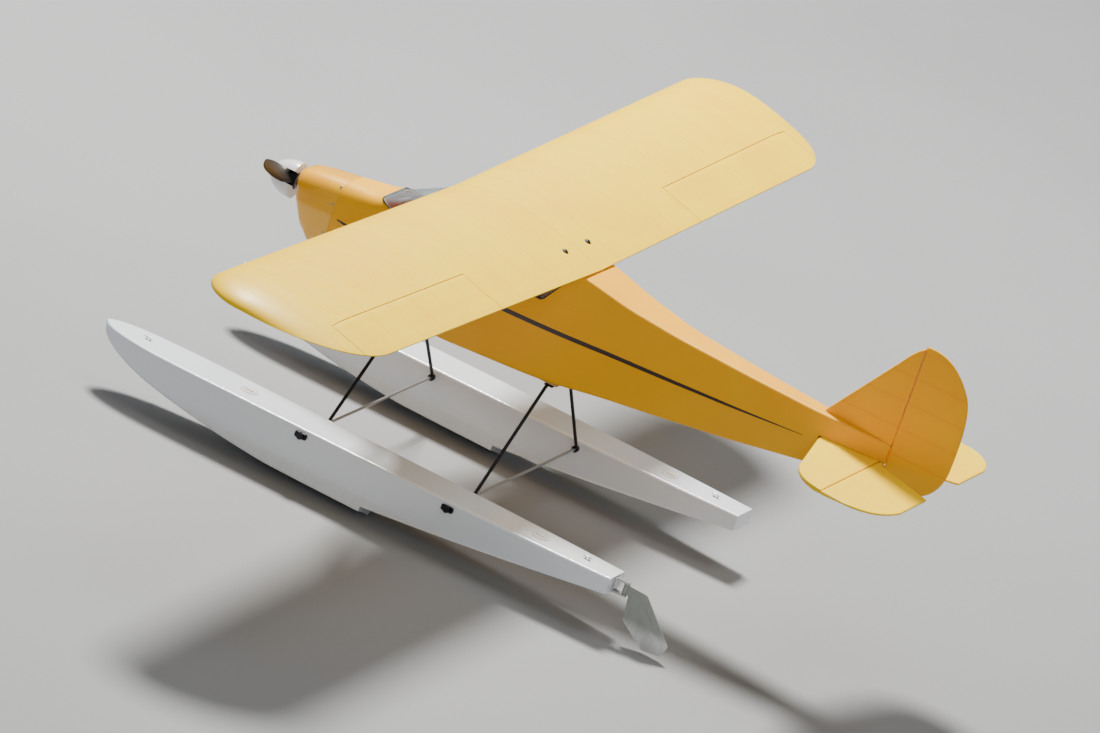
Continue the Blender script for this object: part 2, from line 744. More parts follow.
# One tail panel over its spans, with its faces from front to rear and its tip rounded. A fixed
# one has a rounded front; a hinged one thins towards its rounded rear and has a half-round nose
def tailPanel(toRow, spans, front, rear, tipAt, hinged=False):
    shares = cosineShares(34)[None, :]
    front, rear = (np.broadcast_to(edge, len(spans))[:, None] for edge in (front, rear))
    spans = spans[:, None]
    station = front + shares * (rear - front)
    if hinged:
        half = tail["half"] + (tail["trailingHalf"] - tail["half"]) * shares
        half = half * (0.25 + 0.75 * edgeRound(rear - station, 1.4 * tail["trailingHalf"]))
    else:
        half = tail["half"] * edgeRound(station - front, tail["edge"])
    ribs = np.abs(np.cos(np.pi * spans / tail["ribSpacing"])) ** 0.7
    inside = fadeBetween(station - front, *tail["frameEdge"])
    inside = inside * fadeBetween(rear - station, *tail["rearEdge"])
    inside = inside * fadeBetween(tipAt - spans, *tail["frameEdge"])
    half = half - tail["sag"] * ribs * inside
    half = half * (0.12 + 0.88 * edgeRound(tipAt - spans, tail["edge"]))
    upper, lower = toRow(station[:, ::-1], spans, half[:, ::-1]), toRow(station, spans, -half)
    if not hinged:
        return ringSkin(np.concatenate([upper, lower[:, 1:]], 1))
    angle = np.linspace(np.pi / 2, -np.pi / 2, 13)[None, 1:-1]
    nose = toRow(front - half[:, :1] * np.cos(angle), spans, half[:, :1] * np.sin(angle))
    return ringSkin(np.concatenate([upper, nose, lower], 1))


# The two ways a tail panel lies: level to one side, or upright with its spans as heights
def levelTail(side):
    return lambda station, span, half: place(station, side * span, tail["stabilizerHeight"] + half)


def uprightTail(station, span, half):
    return place(station, half, span)


# Spans that crowd together towards the rounded tip
def tipSpans(first, last, count=70):
    straight = np.linspace(first, last - tail["tipRound"], count)
    rounding = tail["tipRound"] * np.cos(np.linspace(0, np.pi / 2, 12))
    return np.concatenate([straight[:-1], last - rounding])


# The same panel to the left and to the right
def bothSides(*edges, hinged=False):
    return merged(*(tailPanel(levelTail(side), *edges, hinged) for side in sides.values()))


# The stabilizer, and the elevator with its slanting inner edges and the joiner between them
def addTailplane():
    fixedEnd = tail["elevatorHinge"] - tail["half"] - tail["gap"]
    spans = tipSpans(tail["middleGap"], tail["stabilizerTip"])
    front = np.minimum(np.interp(spans, *tailLead.T), fixedEnd - tail["leastChord"])
    panels = bothSides(spans, front, fixedEnd, spans[-1] + tail["tipGap"])
    makePiece("tailplane_skin", panels, "tailFilm", replaces=["stabilizer"])
    slanting = np.linspace(tail["elevatorRoot"], tail["elevatorInner"], 24)[:-1]
    spans = tipSpans(tail["elevatorInner"], tail["halfSpan"] - tail["tipGap"])
    spans = np.concatenate([slanting, spans])
    panels = bothSides(spans, tail["elevatorHinge"], np.interp(spans, *tailRear.T),
                       tail["halfSpan"], hinged=True)
    across = np.linspace(-tail["joinerHalf"], tail["joinerHalf"], 9)
    joiner = place(tail["elevatorHinge"], across, tail["stabilizerHeight"])
    elevator = merged(panels, tubeSurface(joiner, tail["joinerRadius"], 14))
    makePiece("elevator_skin", elevator, "tailFilm", "elevator",
              replaces=["elevator"])


# The fin, and the rudder with its rounded foot
def addFinAndRudder():
    fixedEnd = tail["rudderHinge"] - tail["half"] - tail["gap"]
    spans = tipSpans(tail["finFoot"], tail["finTip"])
    front = np.minimum(np.interp(spans, *finLead.T), fixedEnd - tail["leastChord"])
    fin = tailPanel(uprightTail, spans, front, fixedEnd, tail["finTip"] + 2 * tail["tipGap"])
    makePiece("fin_skin", fin, "finFilm", replaces=["fin"])
    foot = tail["rudderFootEnd"] - tail["rudderFoot"]
    rounding = tail["rudderFoot"] + foot * (1 - np.cos(np.linspace(0, np.pi / 2, 8)))[:-1]
    spans = tipSpans(tail["rudderFootEnd"], tail["rudderTip"] - tail["tipGap"], 90)
    spans = np.concatenate([rounding, spans])
    rudder = tailPanel(uprightTail, spans, tail["rudderHinge"],
                       np.interp(spans, *rudderRear.T), tail["rudderTip"], hinged=True)
    makePiece("rudder_skin", rudder, "finFilm", "rudder", replaces=["rudder"])


addTailplane()
addFinAndRudder()
print("tail made")

# Floats: stations from the bow and heights from the keel
floats = dict(
    track=0.260,
    bow=-0.090,
    deck=0.105,
    railOut=0.0014,
    deckEdge=0.005,
)
floatColumns = ("x", "keel", "chine", "deck", "half")
foreTable = tableOf(
    floatColumns,
    (0, 98, 100, 107, 3),
    (8, 87, 93, 107, 15),
    (26, 70, 83, 106.5, 27),
    (60, 52, 70, 106, 38),
    (120, 33, 54, 105, 45.5),
    (210, 16, 38, 105, 47.5),
    (310, 4, 25, 105, 47.5),
    (380, 0, 20, 105, 47.5),
    (550.2, 0, 18, 105, 47.5),
)
afterTable = tableOf(
    floatColumns,
    (550.5, 12, 27, 105, 47.5),
    (700, 31, 42, 105, 46),
    (860, 53, 60, 105, 40),
    (1000, 74, 77, 105, 32),
)


# The right half of a section's rings, closed by its mirror image
def mirrored(y, z):
    return np.concatenate([y, -y[:, -2:0:-1]], 1), np.concatenate([z, z[:, -2:0:-1]], 1)


# One float: a V bottom, hollow towards the chine, a spray rail, sides that lean in a little
# and a rounded deck edge, ring by ring from the bow past the step to the transom
def floatSurface(side):
    bow = (np.linspace(0, 1, 26) ** 2.2) * 0.12
    front = foreTable["x"][-1] * np.concatenate([bow, np.linspace(0.12, 1, 60)[1:]])
    after = np.linspace(*afterTable["x"][[0, -1]], 48)
    shape = [tableAt(foreTable, front), tableAt(afterTable, after)]
    x = np.concatenate([front, after])[:, None]
    keel, chine, deck, half = (np.vstack([part[name] for part in shape])
                               for name in floatColumns[1:])
    rail = floats["railOut"] * fadeBetween(x, 0.03, 0.12)
    across = np.linspace(0, 1, 9)[None, :]
    bottomY, bottomZ = half * across, keel + (chine - keel) * across ** 0.86
    edge = np.minimum(floats["deckEdge"], np.minimum(half / 3, (deck - chine) / 3))
    turn = np.linspace(0, np.pi / 2, 7)[None, :]
    top = 0.97 * half
    sideY = np.concatenate([half + rail, half + rail, half, half - 0.2 * (half - top), top], 1)
    sideZ = np.concatenate([chine + 0.0002, chine + 0.0018, chine + 0.0026,
                            chine + 0.2 * (deck - edge - chine), deck - edge], 1)
    edgeY, edgeZ = top - edge * (1 - np.cos(turn)), deck - edge * (1 - np.sin(turn))
    deckY = (top - edge) * np.array([[0.9, 0.6, 0.3]])
    deckZ = deck + np.zeros_like(deckY)
    y = np.concatenate([bottomY, sideY, edgeY[:, 1:], deckY, np.zeros_like(half)], 1)
    z = np.concatenate([bottomZ, sideZ, edgeZ[:, 1:], deckZ, deck], 1)
    y, z = mirrored(y, z)
    return ringSkin(place(floats["bow"] + x, side * floats["track"] + y, z - airframe["thrustHeight"]))


for sideName, side in sides.items():
    makePiece(f"float_hull_{sideName}", floatSurface(side), "floats",
              smooth=28, replaces=[f"float_{sideName}"])
print("floats made")


# A closed surface as a mesh: the cutters are taken out of it one by one, and then only what
# lies inside the forms to keep is left
def carved(surface, cutters, keep=()):
    made = []
    for i, form in enumerate([surface, *cutters, *keep]):
        made.append(inScene(f"carving{i}", meshOf(f"carving{i}", form)))
    whole = made[0]
    for i, cutter in enumerate(made[1:]):
        boolean = whole.modifiers.new(f"cut{i}", "BOOLEAN")
        boolean.solver = "EXACT"
        boolean.operation = "DIFFERENCE" if i < len(cutters) else "INTERSECT"
        boolean.object = cutter
    bpy.context.view_layer.update()
    mesh = bpy.data.meshes.new_from_object(whole.evaluated_get(bpy.context.evaluated_depsgraph_get()))
    for piece in made:
        data = piece.data
        bpy.data.objects.remove(piece)
        bpy.data.meshes.remove(data)
    return mesh


# A corner rounded by a square curve that starts and ends at the given reach from it
def roundedCorner(before, here, after, reach, steps):
    start, end = (here + unit(other - here) * reach for other in (before, after))
    return bezier(start, here, end, steps=steps)


# A closed outline with every corner rounded
def roundedOutline(outline, reach, steps=6):
    outline = np.asarray(outline, float)
    corners = zip(np.roll(outline, 1, 0), outline, np.roll(outline, -1, 0))
    return np.vstack([roundedCorner(*corner, reach, steps) for corner in corners])


# An outline in station and height carried across the aeroplane
def acrossPrism(outline, fromY, toY):
    outline = np.asarray(outline, float)
    return ringSkin([place(outline[:, 0], y, outline[:, 1]) for y in (fromY, toY)])


# A box from its low and high corners in station, span and height
def boxSurface(low, high):
    flat = [(low[0], low[1]), (high[0], low[1]), (high[0], high[1]), (low[0], high[1])]
    return ringSkin([place(*np.array(flat).T, level) for level in (low[2], high[2])])


# An open path with every bend rounded
def roundedPath(points, reach):
    bends = zip(points[:-2], points[1:-1], points[2:])
    rounded = [roundedCorner(*bend, reach, 8) for bend in bends]
    return np.vstack([points[:1], *rounded, points[-1:]])


# Fuselage and cowl sections, as in the part: top, side ridge and bottom, and the half
# widths there, with the rounding of the top and bottom corners
sectionColumns = ("x", "top", "ridge", "bottom", "topHalf", "ridgeHalf", "bottomHalf",
                  "crown", "bilge")
fuselageTable = tableOf(
    sectionColumns,
    (150, 50, -8, -90, 48, 57, 48, 34, 16),
    (222, 57.5, -14, -107, 57, 66, 58, 24, 12),
    (318, 106, -18, -116, 62, 69, 62, 8, 8),
    (404, 103, -19, -118, 64, 70, 63, 5, 8),
    (560, 99.5, -14, -108, 66, 70, 62, 5, 8),
    (613, 94, -12, -103.5, 60, 69, 60, 5, 8),
    (700, 75.5, -8.5, -90, 50.5, 62, 53, 5, 7),
    (791, 63.5, -6.5, -79.5, 37, 54, 45, 5, 6),
    (930, 55.5, -1, -61, 28, 45, 37, 5, 5),
    (1060, 50, 5, -41, 21, 32, 26, 5, 5),
    (1194.2, 46, 8, -25, 6, 6, 5, 2, 2),
)
body = dict(
    wall=0.003,
    firewallThickness=0.006,
    formerSpacing=0.098,
    firstFormer=0.613,
    bendSpread=0.02,
    sag=0.0007,
    seatGap=0.0003,
    tailSlot=[(1.0777, -0.060, 0.0057), (1.2500, 0.060, 0.0143)],
    windshield=[(0.214, 0.0595), (0.322, 0.032), (0.322, 0.135), (0.214, 0.135)],
    windows=dict(
        front=[(0.330, 0.028), (0.436, 0.028), (0.436, 0.094), (0.330, 0.095)],
        rear=[(0.446, 0.028), (0.555, 0.028), (0.594, 0.087), (0.446, 0.094)],
    ),
    windowRounding=0.006,
    windowReach=0.045,  # about how far a window's edge lies from its middle
    cutInner=0.04,
    cutOuter=0.12,
    sagFrom=(0.600, 0.630),
    sagTo=(1.02, 1.06),
    seatEdges=[0.3149, 0.3151, 0.6131],
    hatch=[(0.330, -0.054, 0.060), (0.596, 0.054, 0.140)],
)


# The fuselage's section at some stations: straight between the table's rows, as the longerons
# are, with each bend spread over a short stretch
def fuselageAt(stations):
    first, last = fuselageTable["x"][[0, -1]]
    spread, here = body["bendSpread"], stations[:, None]
    near = np.clip(here + np.linspace(-spread, spread, 9), first, last)
    near = here + (near - here) * np.clip(np.minimum(here - first, last - here) / spread, 0, 1)
    return {name: np.interp(near, fuselageTable["x"], rows).mean(1)[:, None]
            for name, rows in fuselageTable.items()}


# Rings of the body's section: level from the bottom's middle, a square curve round the corner,
# straight to the side ridge and likewise on to the top's middle, then mirrored. Sag draws the
# film in between the longerons and the side ridge
def bodyRings(stations, values, inset=0.0, rake=0.0, sag=0.0):
    top, bottom = values["top"] - inset, values["bottom"] + inset
    ridge = (values["ridgeHalf"] - inset, values["ridge"])
    t = np.linspace(0, 1, 7)[None, :]
    side = np.linspace(0, 1, 10)[None, 1:-1]
    across = np.linspace(0, 1, 5)[None, :-1]
    parts = []
    for half, height, rounding in (("bottomHalf", bottom, "bilge"), ("topHalf", top, "crown")):
        width = values[half] - inset
        turn = np.maximum(0.001, values[rounding] - inset)
        turned = turn / np.hypot(ridge[0] - width, ridge[1] - height)
        onSide = (width + (ridge[0] - width) * turned, height + (ridge[1] - height) * turned)
        start = (width - turn, height)
        curve = [(1 - t) ** 2 * a + 2 * t * (1 - t) * b + t**2 * c
                 for a, b, c in zip(start, (width, height), onSide)]
        plane = [a + (b - a) * side for a, b in zip(onSide, ridge)]
        plane[0] = plane[0] - sag * 4 * side * (1 - side)
        flat = [across * start[0], height - np.sign(height) * sag * (1 - across**2)]
        parts.append([np.concatenate([flat[i], curve[i], plane[i]], 1) for i in range(2)])
    lower, upper = parts
    y, z = (np.concatenate([lower[i], ridge[i], upper[i][:, ::-1]], 1) for i in range(2))
    y, z = mirrored(y, z)
    lean = stations[:, None] + rake * (top - z) / (top - bottom)
    return place(lean, y, z)


# Height of the wing's underside at a station, read off its root section
def wingUnderside(station):
    under = wingSkin(1, np.zeros(1), np.linspace(0, 1, 200), -1)
    return np.interp(station, under[:, 0] + airframe["originStation"], under[:, 2], left=9, right=9)


# The same rings with nothing above the wing's underside, less a small gap
def seated(rings, drop):
    station = rings[..., 0] + airframe["originStation"]
    underside = wingUnderside(station) + np.abs(rings[..., 1]) * wing["dihedralRise"]
    rings[..., 2] = np.minimum(rings[..., 2], underside - body["seatGap"] - drop)
    return rings


# The fuselage's rings between two stations, set in by a wall, with the film's sag in each bay
# behind the wing
def fuselageSkin(inset, first, last, sag=0.0, drop=0.0):
    stations = np.unique(np.concatenate([np.linspace(first, last, 190), body["seatEdges"]]))
    stations = stations[(stations >= first) & (stations <= last)]
    bays = np.abs(np.sin(np.pi * (stations - body["firstFormer"]) / body["formerSpacing"])) ** 0.8
    aft = fadeBetween(stations, *body["sagFrom"]) * (1 - fadeBetween(stations, *body["sagTo"]))
    sag = sag * (bays * aft)[:, None]
    return ringSkin(seated(bodyRings(stations, fuselageAt(stations), inset, sag=sag), drop))


# An outline drawn in towards its middle
def drawnIn(shape, inset):
    shape = np.asarray(shape)
    middle = shape.mean(0)
    return middle + (shape - middle) * (1 - inset / body["windowReach"])


# The forms that cut the windows or, drawn in a little, keep their panes
def windowPrisms(inset=0.0):
    for windowPlace, outline in body["windows"].items():
        shape = drawnIn(roundedOutline(outline, body["windowRounding"]), inset)
        for sideName, side in sides.items():
            prism = acrossPrism(shape, side * body["cutInner"], side * body["cutOuter"])
            yield f"{windowPlace}_{sideName}", prism


# The skin with its hollow, windows, hatch and tail slot carved out
def addFuselage():
    wall = body["wall"]
    inner = fuselageSkin(wall, airframe["firewall"] + body["firewallThickness"],
                         airframe["tailPost"] - 0.03, drop=wall)
    cutters = [inner, acrossPrism(body["windshield"], -body["cutOuter"], body["cutOuter"])]
    cutters += [prism for _, prism in windowPrisms()]
    cutters += [boxSurface(*body["hatch"]), boxSurface(*body["tailSlot"])]
    outer = fuselageSkin(0.0, airframe["firewall"], airframe["tailPost"], body["sag"])
    mesh = carved(outer, cutters)
    finishPiece(mesh, "fuselage_covering", "bodyFilm", "airframe", 26, ["fuselage"])


addFuselage()
print("fuselage made")

# Clear panes: a thin shell of the fuselage's own form, kept only inside each opening
panes = dict(
    outer=0.0006,
    inner=0.0016,
    first=0.170,
    last=0.700,
    beyond=0.004,  # the inner form is longer, so that it cuts the shell's ends away
    clearance=0.0003,
)


# The shell cut down to each opening, which is drawn in so that the pane clears its edge
def addPanes():
    openings = {f"window_{name}": prism for name, prism in windowPrisms(panes["clearance"])}
    shape = drawnIn(body["windshield"], panes["clearance"])
    openings["windshield"] = acrossPrism(shape, -body["cutOuter"], body["cutOuter"])
    for name, prism in openings.items():
        outer = fuselageSkin(panes["outer"], panes["first"], panes["last"])
        inner = fuselageSkin(panes["inner"], panes["first"] - panes["beyond"],
                             panes["last"] + panes["beyond"], drop=panes["inner"] - panes["outer"])
        mesh = carved(outer, [inner], [prism])
        finishPiece(mesh, f"{name}_pane", "clear", "airframe", 30, [name])


addPanes()
print("panes made")

# Trim: the side stripes, the frames of the panes and the wing's bolts
trim = dict(
    stripe=[(0.162, 0.0012), (0.200, 0.0034), (0.560, 0.0040), (0.860, 0.0028), (1.052, 0.0004)],
    stripeThick=0.00014,
    stripeGap=0.00002,
    frameRadius=0.0013,
    frameWidth=0.0022,
    frameRise=0.0006,
    postTop=0.1015,
    boltStation=0.557,
    boltAcross=0.045,
)


# Half widths of the fuselage at stations and heights: along a straight line between the two
# points of each station's ring, in its right half, that lie just below and above the height
def sideAt(stations, heights):
    rings = bodyRings(stations, fuselageAt(stations))
    half = rings[:, : rings.shape[1] // 2 + 1]
    rising = np.argsort(half[..., 2], 1, kind="stable")
    across, up = (np.take_along_axis(half[..., axis], rising, 1) for axis in (1, 2))
    level = heights + airframe["thrustHeight"]
    pair = (up <= level[:, None]).sum(1)[:, None] + [-1, 0]
    (y0, y1), (z0, z1) = (np.take_along_axis(values, pair, 1).T for values in (across, up))
    return y0 + (y1 - y0) / (z1 - z0) * (level - z0)


# A strip of film along the side ridge, bent over it, as wide as its table says at each station
def stripeSurface(side):
    rows = np.array(trim["stripe"])
    stations = np.linspace(rows[0, 0], rows[-1, 0], 150)
    reach = eased(stations, rows[:, 0], rows[:, 1])[:, None]
    values = fuselageAt(stations)
    ridge = np.concatenate([values["ridgeHalf"], values["ridge"]], 1)
    edges = []
    for half, height in (("bottomHalf", "bottom"), ("topHalf", "top")):
        away = np.concatenate([values[half], values[height]], 1) - ridge
        edges.append(ridge + reach * away / np.linalg.norm(away, axis=1, keepdims=True))
    section = np.stack([edges[0], ridge, edges[1]], 1)
    outer = section + [trim["stripeThick"], 0.0]
    section = np.concatenate([section + [trim["stripeGap"], 0.0], outer[:, ::-1]], 1)
    return ringSkin(place(stations[:, None], side * section[..., 0], section[..., 1]))


# A flat frame round a window: a band either side of its outline, laid on the fuselage's side
def windowFrame(outline, side):
    away = outline - outline.mean(0)
    away /= np.linalg.norm(away, axis=1, keepdims=True)
    rings, high = [], trim["frameRise"]
    for share, lift in ((-0.5, -0.0004), (-0.4, high), (0.4, high), (0.5, -0.0002)):
        stations, heights = (outline + away * share * trim["frameWidth"]).T
        across = sideAt(stations, heights) + lift
        rings.append(place(stations, side * across, heights))
    return ringSkin([*rings, rings[0]], capped=False)


# The windshield's frame: a bar along its foot and round its front, and a post at each rear edge
def windshieldFrame():
    (front, high), (rear, low) = body["windshield"][:2]
    stations = np.linspace(front + 0.008, rear, 40)
    heights = high + (low - high) * (stations - front) / (rear - front)
    across = sideAt(stations, heights) + trim["frameRise"]
    heights = heights + trim["frameRise"]
    foot = place(stations, across, heights)
    nose = place(stations[0], np.linspace(across[0], -across[0], 12)[1:-1], heights[0])
    path = np.vstack([foot[::-1], nose, foot * [1, -1, 1]])
    parts = [tubeSurface(path, trim["frameRadius"], 8)]
    heights = np.linspace(low, trim["postTop"], 14)
    across = sideAt(np.full_like(heights, rear), heights)
    for side in sides.values():
        parts.append(tubeSurface(place(rear, side * across, heights), trim["frameRadius"], 8))
    return merged(*parts)


# A nylon wing bolt: a domed head with a round hollow, standing on a thin washer
def wingBolt(side):
    share = np.array((trim["boltStation"] - wing["station"]) / wing["chord"])
    foot, ahead = (wingSkin(side, trim["boltAcross"], share - step, 1) for step in (0, 0.02))
    slope = unit(ahead - foot)
    up = np.cross(slope, [0, side, side * wing["dihedralRise"]])
    up = up if up[2] > 0 else -up
    washer = [(-0.0004, 0.0020), (-0.0004, 0.0062), (0.0005, 0.0062), (0.0007, 0.0058)]
    head = [(0.0007, 0.0046), (0.0020, 0.0045), (0.0027, 0.0037), (0.0030, 0.0024)]
    hollow = [(0.0016, 0.0021), (0.0014, 0.0008)]
    return turnedSurface([*washer, *head, *hollow], foot, up, 28)


# The trim of both sides
def addTrim():
    for sideName, side in sides.items():
        makePiece(f"side_stripe_{sideName}", stripeSurface(side), "stripe")
        makePiece(f"wing_bolt_{sideName}", wingBolt(side), "black")
        for windowPlace, outline in body["windows"].items():
            shape = roundedOutline(outline, body["windowRounding"], 5)
            makePiece(f"window_frame_{windowPlace}_{sideName}", windowFrame(shape, side), "rubber")
    makePiece("windshield_frame", windshieldFrame(), "rubber")


addTrim()
print("trim made")

# Nose: cowl, spinner and propeller
cowl = dict(
    front=0.057,
    lipEnd=0.068,
    rear=0.1497,
    frontWall=0.0025,
    frontFade=(0.059, 0.070),
    openEnd=0.0053,
    wall=0.0016,
    shaftHole=0.016,
    inletY=0.027,
    inletZ=-0.006,
    inletRadius=0.008,
    outlet=[(0.118, -0.024, -0.110), (0.160, 0.024, -0.070)],
    pipeHole=[(0.120, 0.037, -0.040), (0.130, 0.037, -0.110)],
    pipeHoleRadius=0.008,
    drillFrom=0.04,
    drillTo=0.10,
    screwStation=0.1435,
    screwHeights=(-0.079, -0.045, 0.010, 0.041),
)
cowlTable = tableOf(
    sectionColumns,
    (57, 22, -12, -50, 30, 38, 27, 22, 20),
    (59, 29, -12, -58, 36, 45, 33, 28, 22),
    (68, 36, -12, -66, 42, 51, 39, 32, 22),
    (92, 42, -11, -77, 45, 54, 44, 34, 20),
    (149.7, 50, -8, -90, 48, 57, 48, 34, 16),
)
cowlRake = [(0.057, 0.031), (0.059, 0.033), (0.068, 0.033), (0.092, 0.024), (0.1497, 0.0)]


# The cowl's rings; at its round lip they crowd together as points on a quarter circle do. The
# form of its hollow starts behind the front wall and runs on beyond the open rear
def cowlSkin(inset, frontWall=0.0, beyond=0.0):
    lip = (cowl["lipEnd"] - cowl["front"]) * (1 - np.cos(np.linspace(0, np.pi / 2, 12)))
    stations = np.concatenate([cowl["front"] + lip[:-1],
                               np.linspace(cowl["lipEnd"], cowl["rear"], 26)])
    shifted = stations + frontWall * (1 - fadeBetween(stations, *cowl["frontFade"]))
    rake = eased(stations, *np.array(cowlRake).T)[:, None]
    rings = bodyRings(shifted, tableAt(cowlTable, stations), inset, rake)
    if beyond:
        rings = np.concatenate([rings, rings[-1:] + [beyond, 0, 0]])
    return ringSkin(rings)


# The outside of a bar's profile, with both rims chamfered
def chamferedRims(length, radius, chamfer):
    return [(0, radius - chamfer), (chamfer, radius),
            (length - chamfer, radius), (length, radius - chamfer)]


# A plain cylinder between two spots
def holeSurface(start, end, radius):
    start, end = place(*start), place(*end)
    length = np.linalg.norm(end - start)
    return turnedSurface([(0, radius), (length, radius)], start, end - start, 40)


# The shell with its hollow, the shaft hole, two inlets, the outlet and the pipe's hole cut out
def addCowl():
    cutters = [cowlSkin(cowl["wall"], cowl["frontWall"], cowl["openEnd"])]
    drilled = [(0.0, 0.0, cowl["shaftHole"])]
    drilled += [(side * cowl["inletY"], cowl["inletZ"], cowl["inletRadius"])
                for side in sides.values()]
    for y, z, radius in drilled:
        cutters.append(holeSurface((cowl["drillFrom"], y, z), (cowl["drillTo"], y, z), radius))
    cutters += [boxSurface(*cowl["outlet"]), holeSurface(*cowl["pipeHole"], cowl["pipeHoleRadius"])]
    mesh = carved(cowlSkin(0.0), cutters)
    finishPiece(mesh, "cowl_shell", "shell", "airframe", 30, ["cowl"])


addCowl()

spinner = dict(
    radius=0.0325,
    base=0.050,
    hubFront=0.0333,
    hubRear=0.0497,
    hubRadius=0.0155,
    hubRoom=0.0005,
    bladeTurn=21.0,
    slotHalf=0.012,
    slotReach=0.045,
    backplate=0.0022,
    groove=0.0007,
    grooveWidth=0.0004,
    chamfer=0.0003,
    point=0.00002,
)


# Turns points about the thrust line by the blades' resting angle
def withBlades(points):
    angle = math.radians(-spinner["bladeTurn"])
    y, z = points[..., 1].copy(), points[..., 2] - airframe["thrustHeight"]
    points[..., 1] = y * math.cos(angle) - z * math.sin(angle)
    points[..., 2] = y * math.sin(angle) + z * math.cos(angle) + airframe["thrustHeight"]
    return points


# An ellipse turned about the thrust line, with a seam before its backplate; its blade
# slots and the room for the hub are carved out
def addSpinner():
    angle = np.linspace(0, np.pi / 2, 26)[1:]
    radius, base, chamfer = spinner["radius"], spinner["base"], spinner["chamfer"]
    seam = base - spinner["backplate"]
    seamEnd = seam + spinner["grooveWidth"]
    inGroove = radius - spinner["groove"]
    profile = [(0.0, spinner["point"]), *zip(seam * (1 - np.cos(angle)), radius * np.sin(angle)),
               (seam, inGroove), (seamEnd, inGroove), (seamEnd, radius),
               (base - chamfer, radius), (base, radius - chamfer)]
    cone = turnedSurface(profile, place(0.0, 0.0, 0.0), (1, 0, 0), 72)
    hub = holeSurface((spinner["hubFront"] - 0.0003, 0, 0), (base + 0.005, 0, 0),
                      spinner["hubRadius"] + spinner["hubRoom"])
    reach, half = spinner["slotReach"], spinner["slotHalf"]
    points, faces = boxSurface((spinner["hubFront"] - 0.001, -reach, -half),
                               (base + 0.002, reach, half))
    mesh = carved(cone, [hub, (withBlades(points), faces)])
    finishPiece(mesh, "spinner_cone", "spinner", "propeller", 30, ["spinner"])


blade = dict(
    root=0.008,
    roundFrom=0.150,
    tip=0.165,
    rearShare=0.38,  # of the thickness, behind the line through its edges
)
bladeTable = np.array([  # radius, width, pitch in degrees, thickness, sweep of the leading edge
    (blade["root"], 0.016, 50, 0.0090, 0.0),
    (0.034, 0.022, 40, 0.0060, 0.0005),
    (0.070, 0.029, 27, 0.0045, 0.001),
    (0.110, 0.027, 20, 0.0034, 0.0005),
    (blade["roundFrom"], 0.019, 15, 0.0024, -0.0005),
    (0.163, 0.011, 14, 0.0018, -0.001),
    (blade["tip"], 0.004, 14, 0.0010, -0.001),
])


# One blade: a section that is thickest near a third of its width and fuller on its front face,
# pitched at each radius
def bladeSurface(side):
    rounding = (blade["tip"] - blade["roundFrom"]) * np.cos(np.linspace(0, np.pi / 2, 14))
    radius = np.concatenate([np.linspace(blade["root"], blade["roundFrom"], 44),
                             blade["tip"] - rounding[1:]])
    knots, *columns = bladeTable.T
    width, pitch, thickness, sweep = (eased(radius, knots, column)[:, None] for column in columns)
    pitch = np.radians(pitch)
    share = cosineShares(15)[None, :]
    crown = 2.6 * np.sqrt(share) * (1 - share) ** 0.9 * (1 - 0.25 * share)
    along = np.concatenate([0.5 - share, (0.5 - share)[:, -2:0:-1]], 1) * width + sweep
    crowns = [-crown * (1 - blade["rearShare"]), crown[:, -2:0:-1] * blade["rearShare"]]
    through = np.concatenate(crowns, 1) * thickness
    middle = (spinner["hubFront"] + spinner["hubRear"]) / 2
    swept = along * np.sin(pitch) + through * np.cos(pitch)
    level = along * np.cos(pitch) - through * np.sin(pitch)
    rings = place(middle + swept, side * radius[:, None], side * level)
    return ringSkin(withBlades(rings))


# Both blades on a hub with chamfered rims
def addPropeller():
    radius, length = spinner["hubRadius"], spinner["hubRear"] - spinner["hubFront"]
    profile = [(0, radius * 0.5), *chamferedRims(length, radius, 0.001), (length, radius * 0.5)]
    hub = turnedSurface(profile, place(spinner["hubFront"], 0.0, 0.0), (1, 0, 0), 40)
    blades = merged(hub, *(bladeSurface(side) for side in sides.values()))
    makePiece("propeller_blades", blades, "black", "propeller", 40,
              replaces=["propeller"])


# Plates laid in three ways: their outline's two coordinates and their level in the row frame
laid = dict(
    across=lambda loop, level: place(loop[:, 0], level, loop[:, 1]),
    level=lambda loop, level: place(loop[:, 0], loop[:, 1], level),
    along=lambda loop, level: place(level, loop[:, 0], loop[:, 1]),
)


# A plate between two levels with chamfered edges; every point of its outline is seen from its
# middle, about which both faces are closed
def plateSurface(outline, low, high, way, chamfer=0.0004, middle=None):
    outline = np.asarray(outline, float)
    middle = outline.mean(0) if middle is None else np.array(middle)
    reach = np.linalg.norm(outline - middle, axis=1).mean()
    drawn = middle + (outline - middle) * (1 - chamfer / reach)
    core = middle + (outline - middle) * 0.02
    steps = [(core, low), (drawn, low), (outline, low + chamfer),
             (outline, high - chamfer), (drawn, high), (core, high)]
    return ringSkin([laid[way](loop, level) for loop, level in steps])


# A block between two corners; its edges along the way are rounded and its ends chamfered
def roundedBlock(low, high, way, rounding=0.002, chamfer=0.0006):
    flat = dict(across=(0, 2), level=(0, 1), along=(1, 2))[way]
    up = 3 - sum(flat)
    (a, b), (c, d) = ((low[i], high[i]) for i in flat)
    outline = roundedOutline([(a, c), (b, c), (b, d), (a, d)], rounding, 4)
    return plateSurface(outline, low[up], high[up], way, chamfer)


# A level block between two stations and two heights, reaching half to each side of a span
def levelBlock(front, rear, across, half, low, high, rounding=0.002, chamfer=0.0006):
    corners = (front, across - half, low), (rear, across + half, high)
    return roundedBlock(*corners, "level", rounding, chamfer)


# A round bar between two spots with chamfered ends
def barBetween(start, end, radius, sides=16):
    start, end = place(*start), place(*end)
    length = np.linalg.norm(end - start)
    profile = chamferedRims(length, radius, min(radius * 0.25, length * 0.2))
    return turnedSurface(profile, start, end - start, sides)


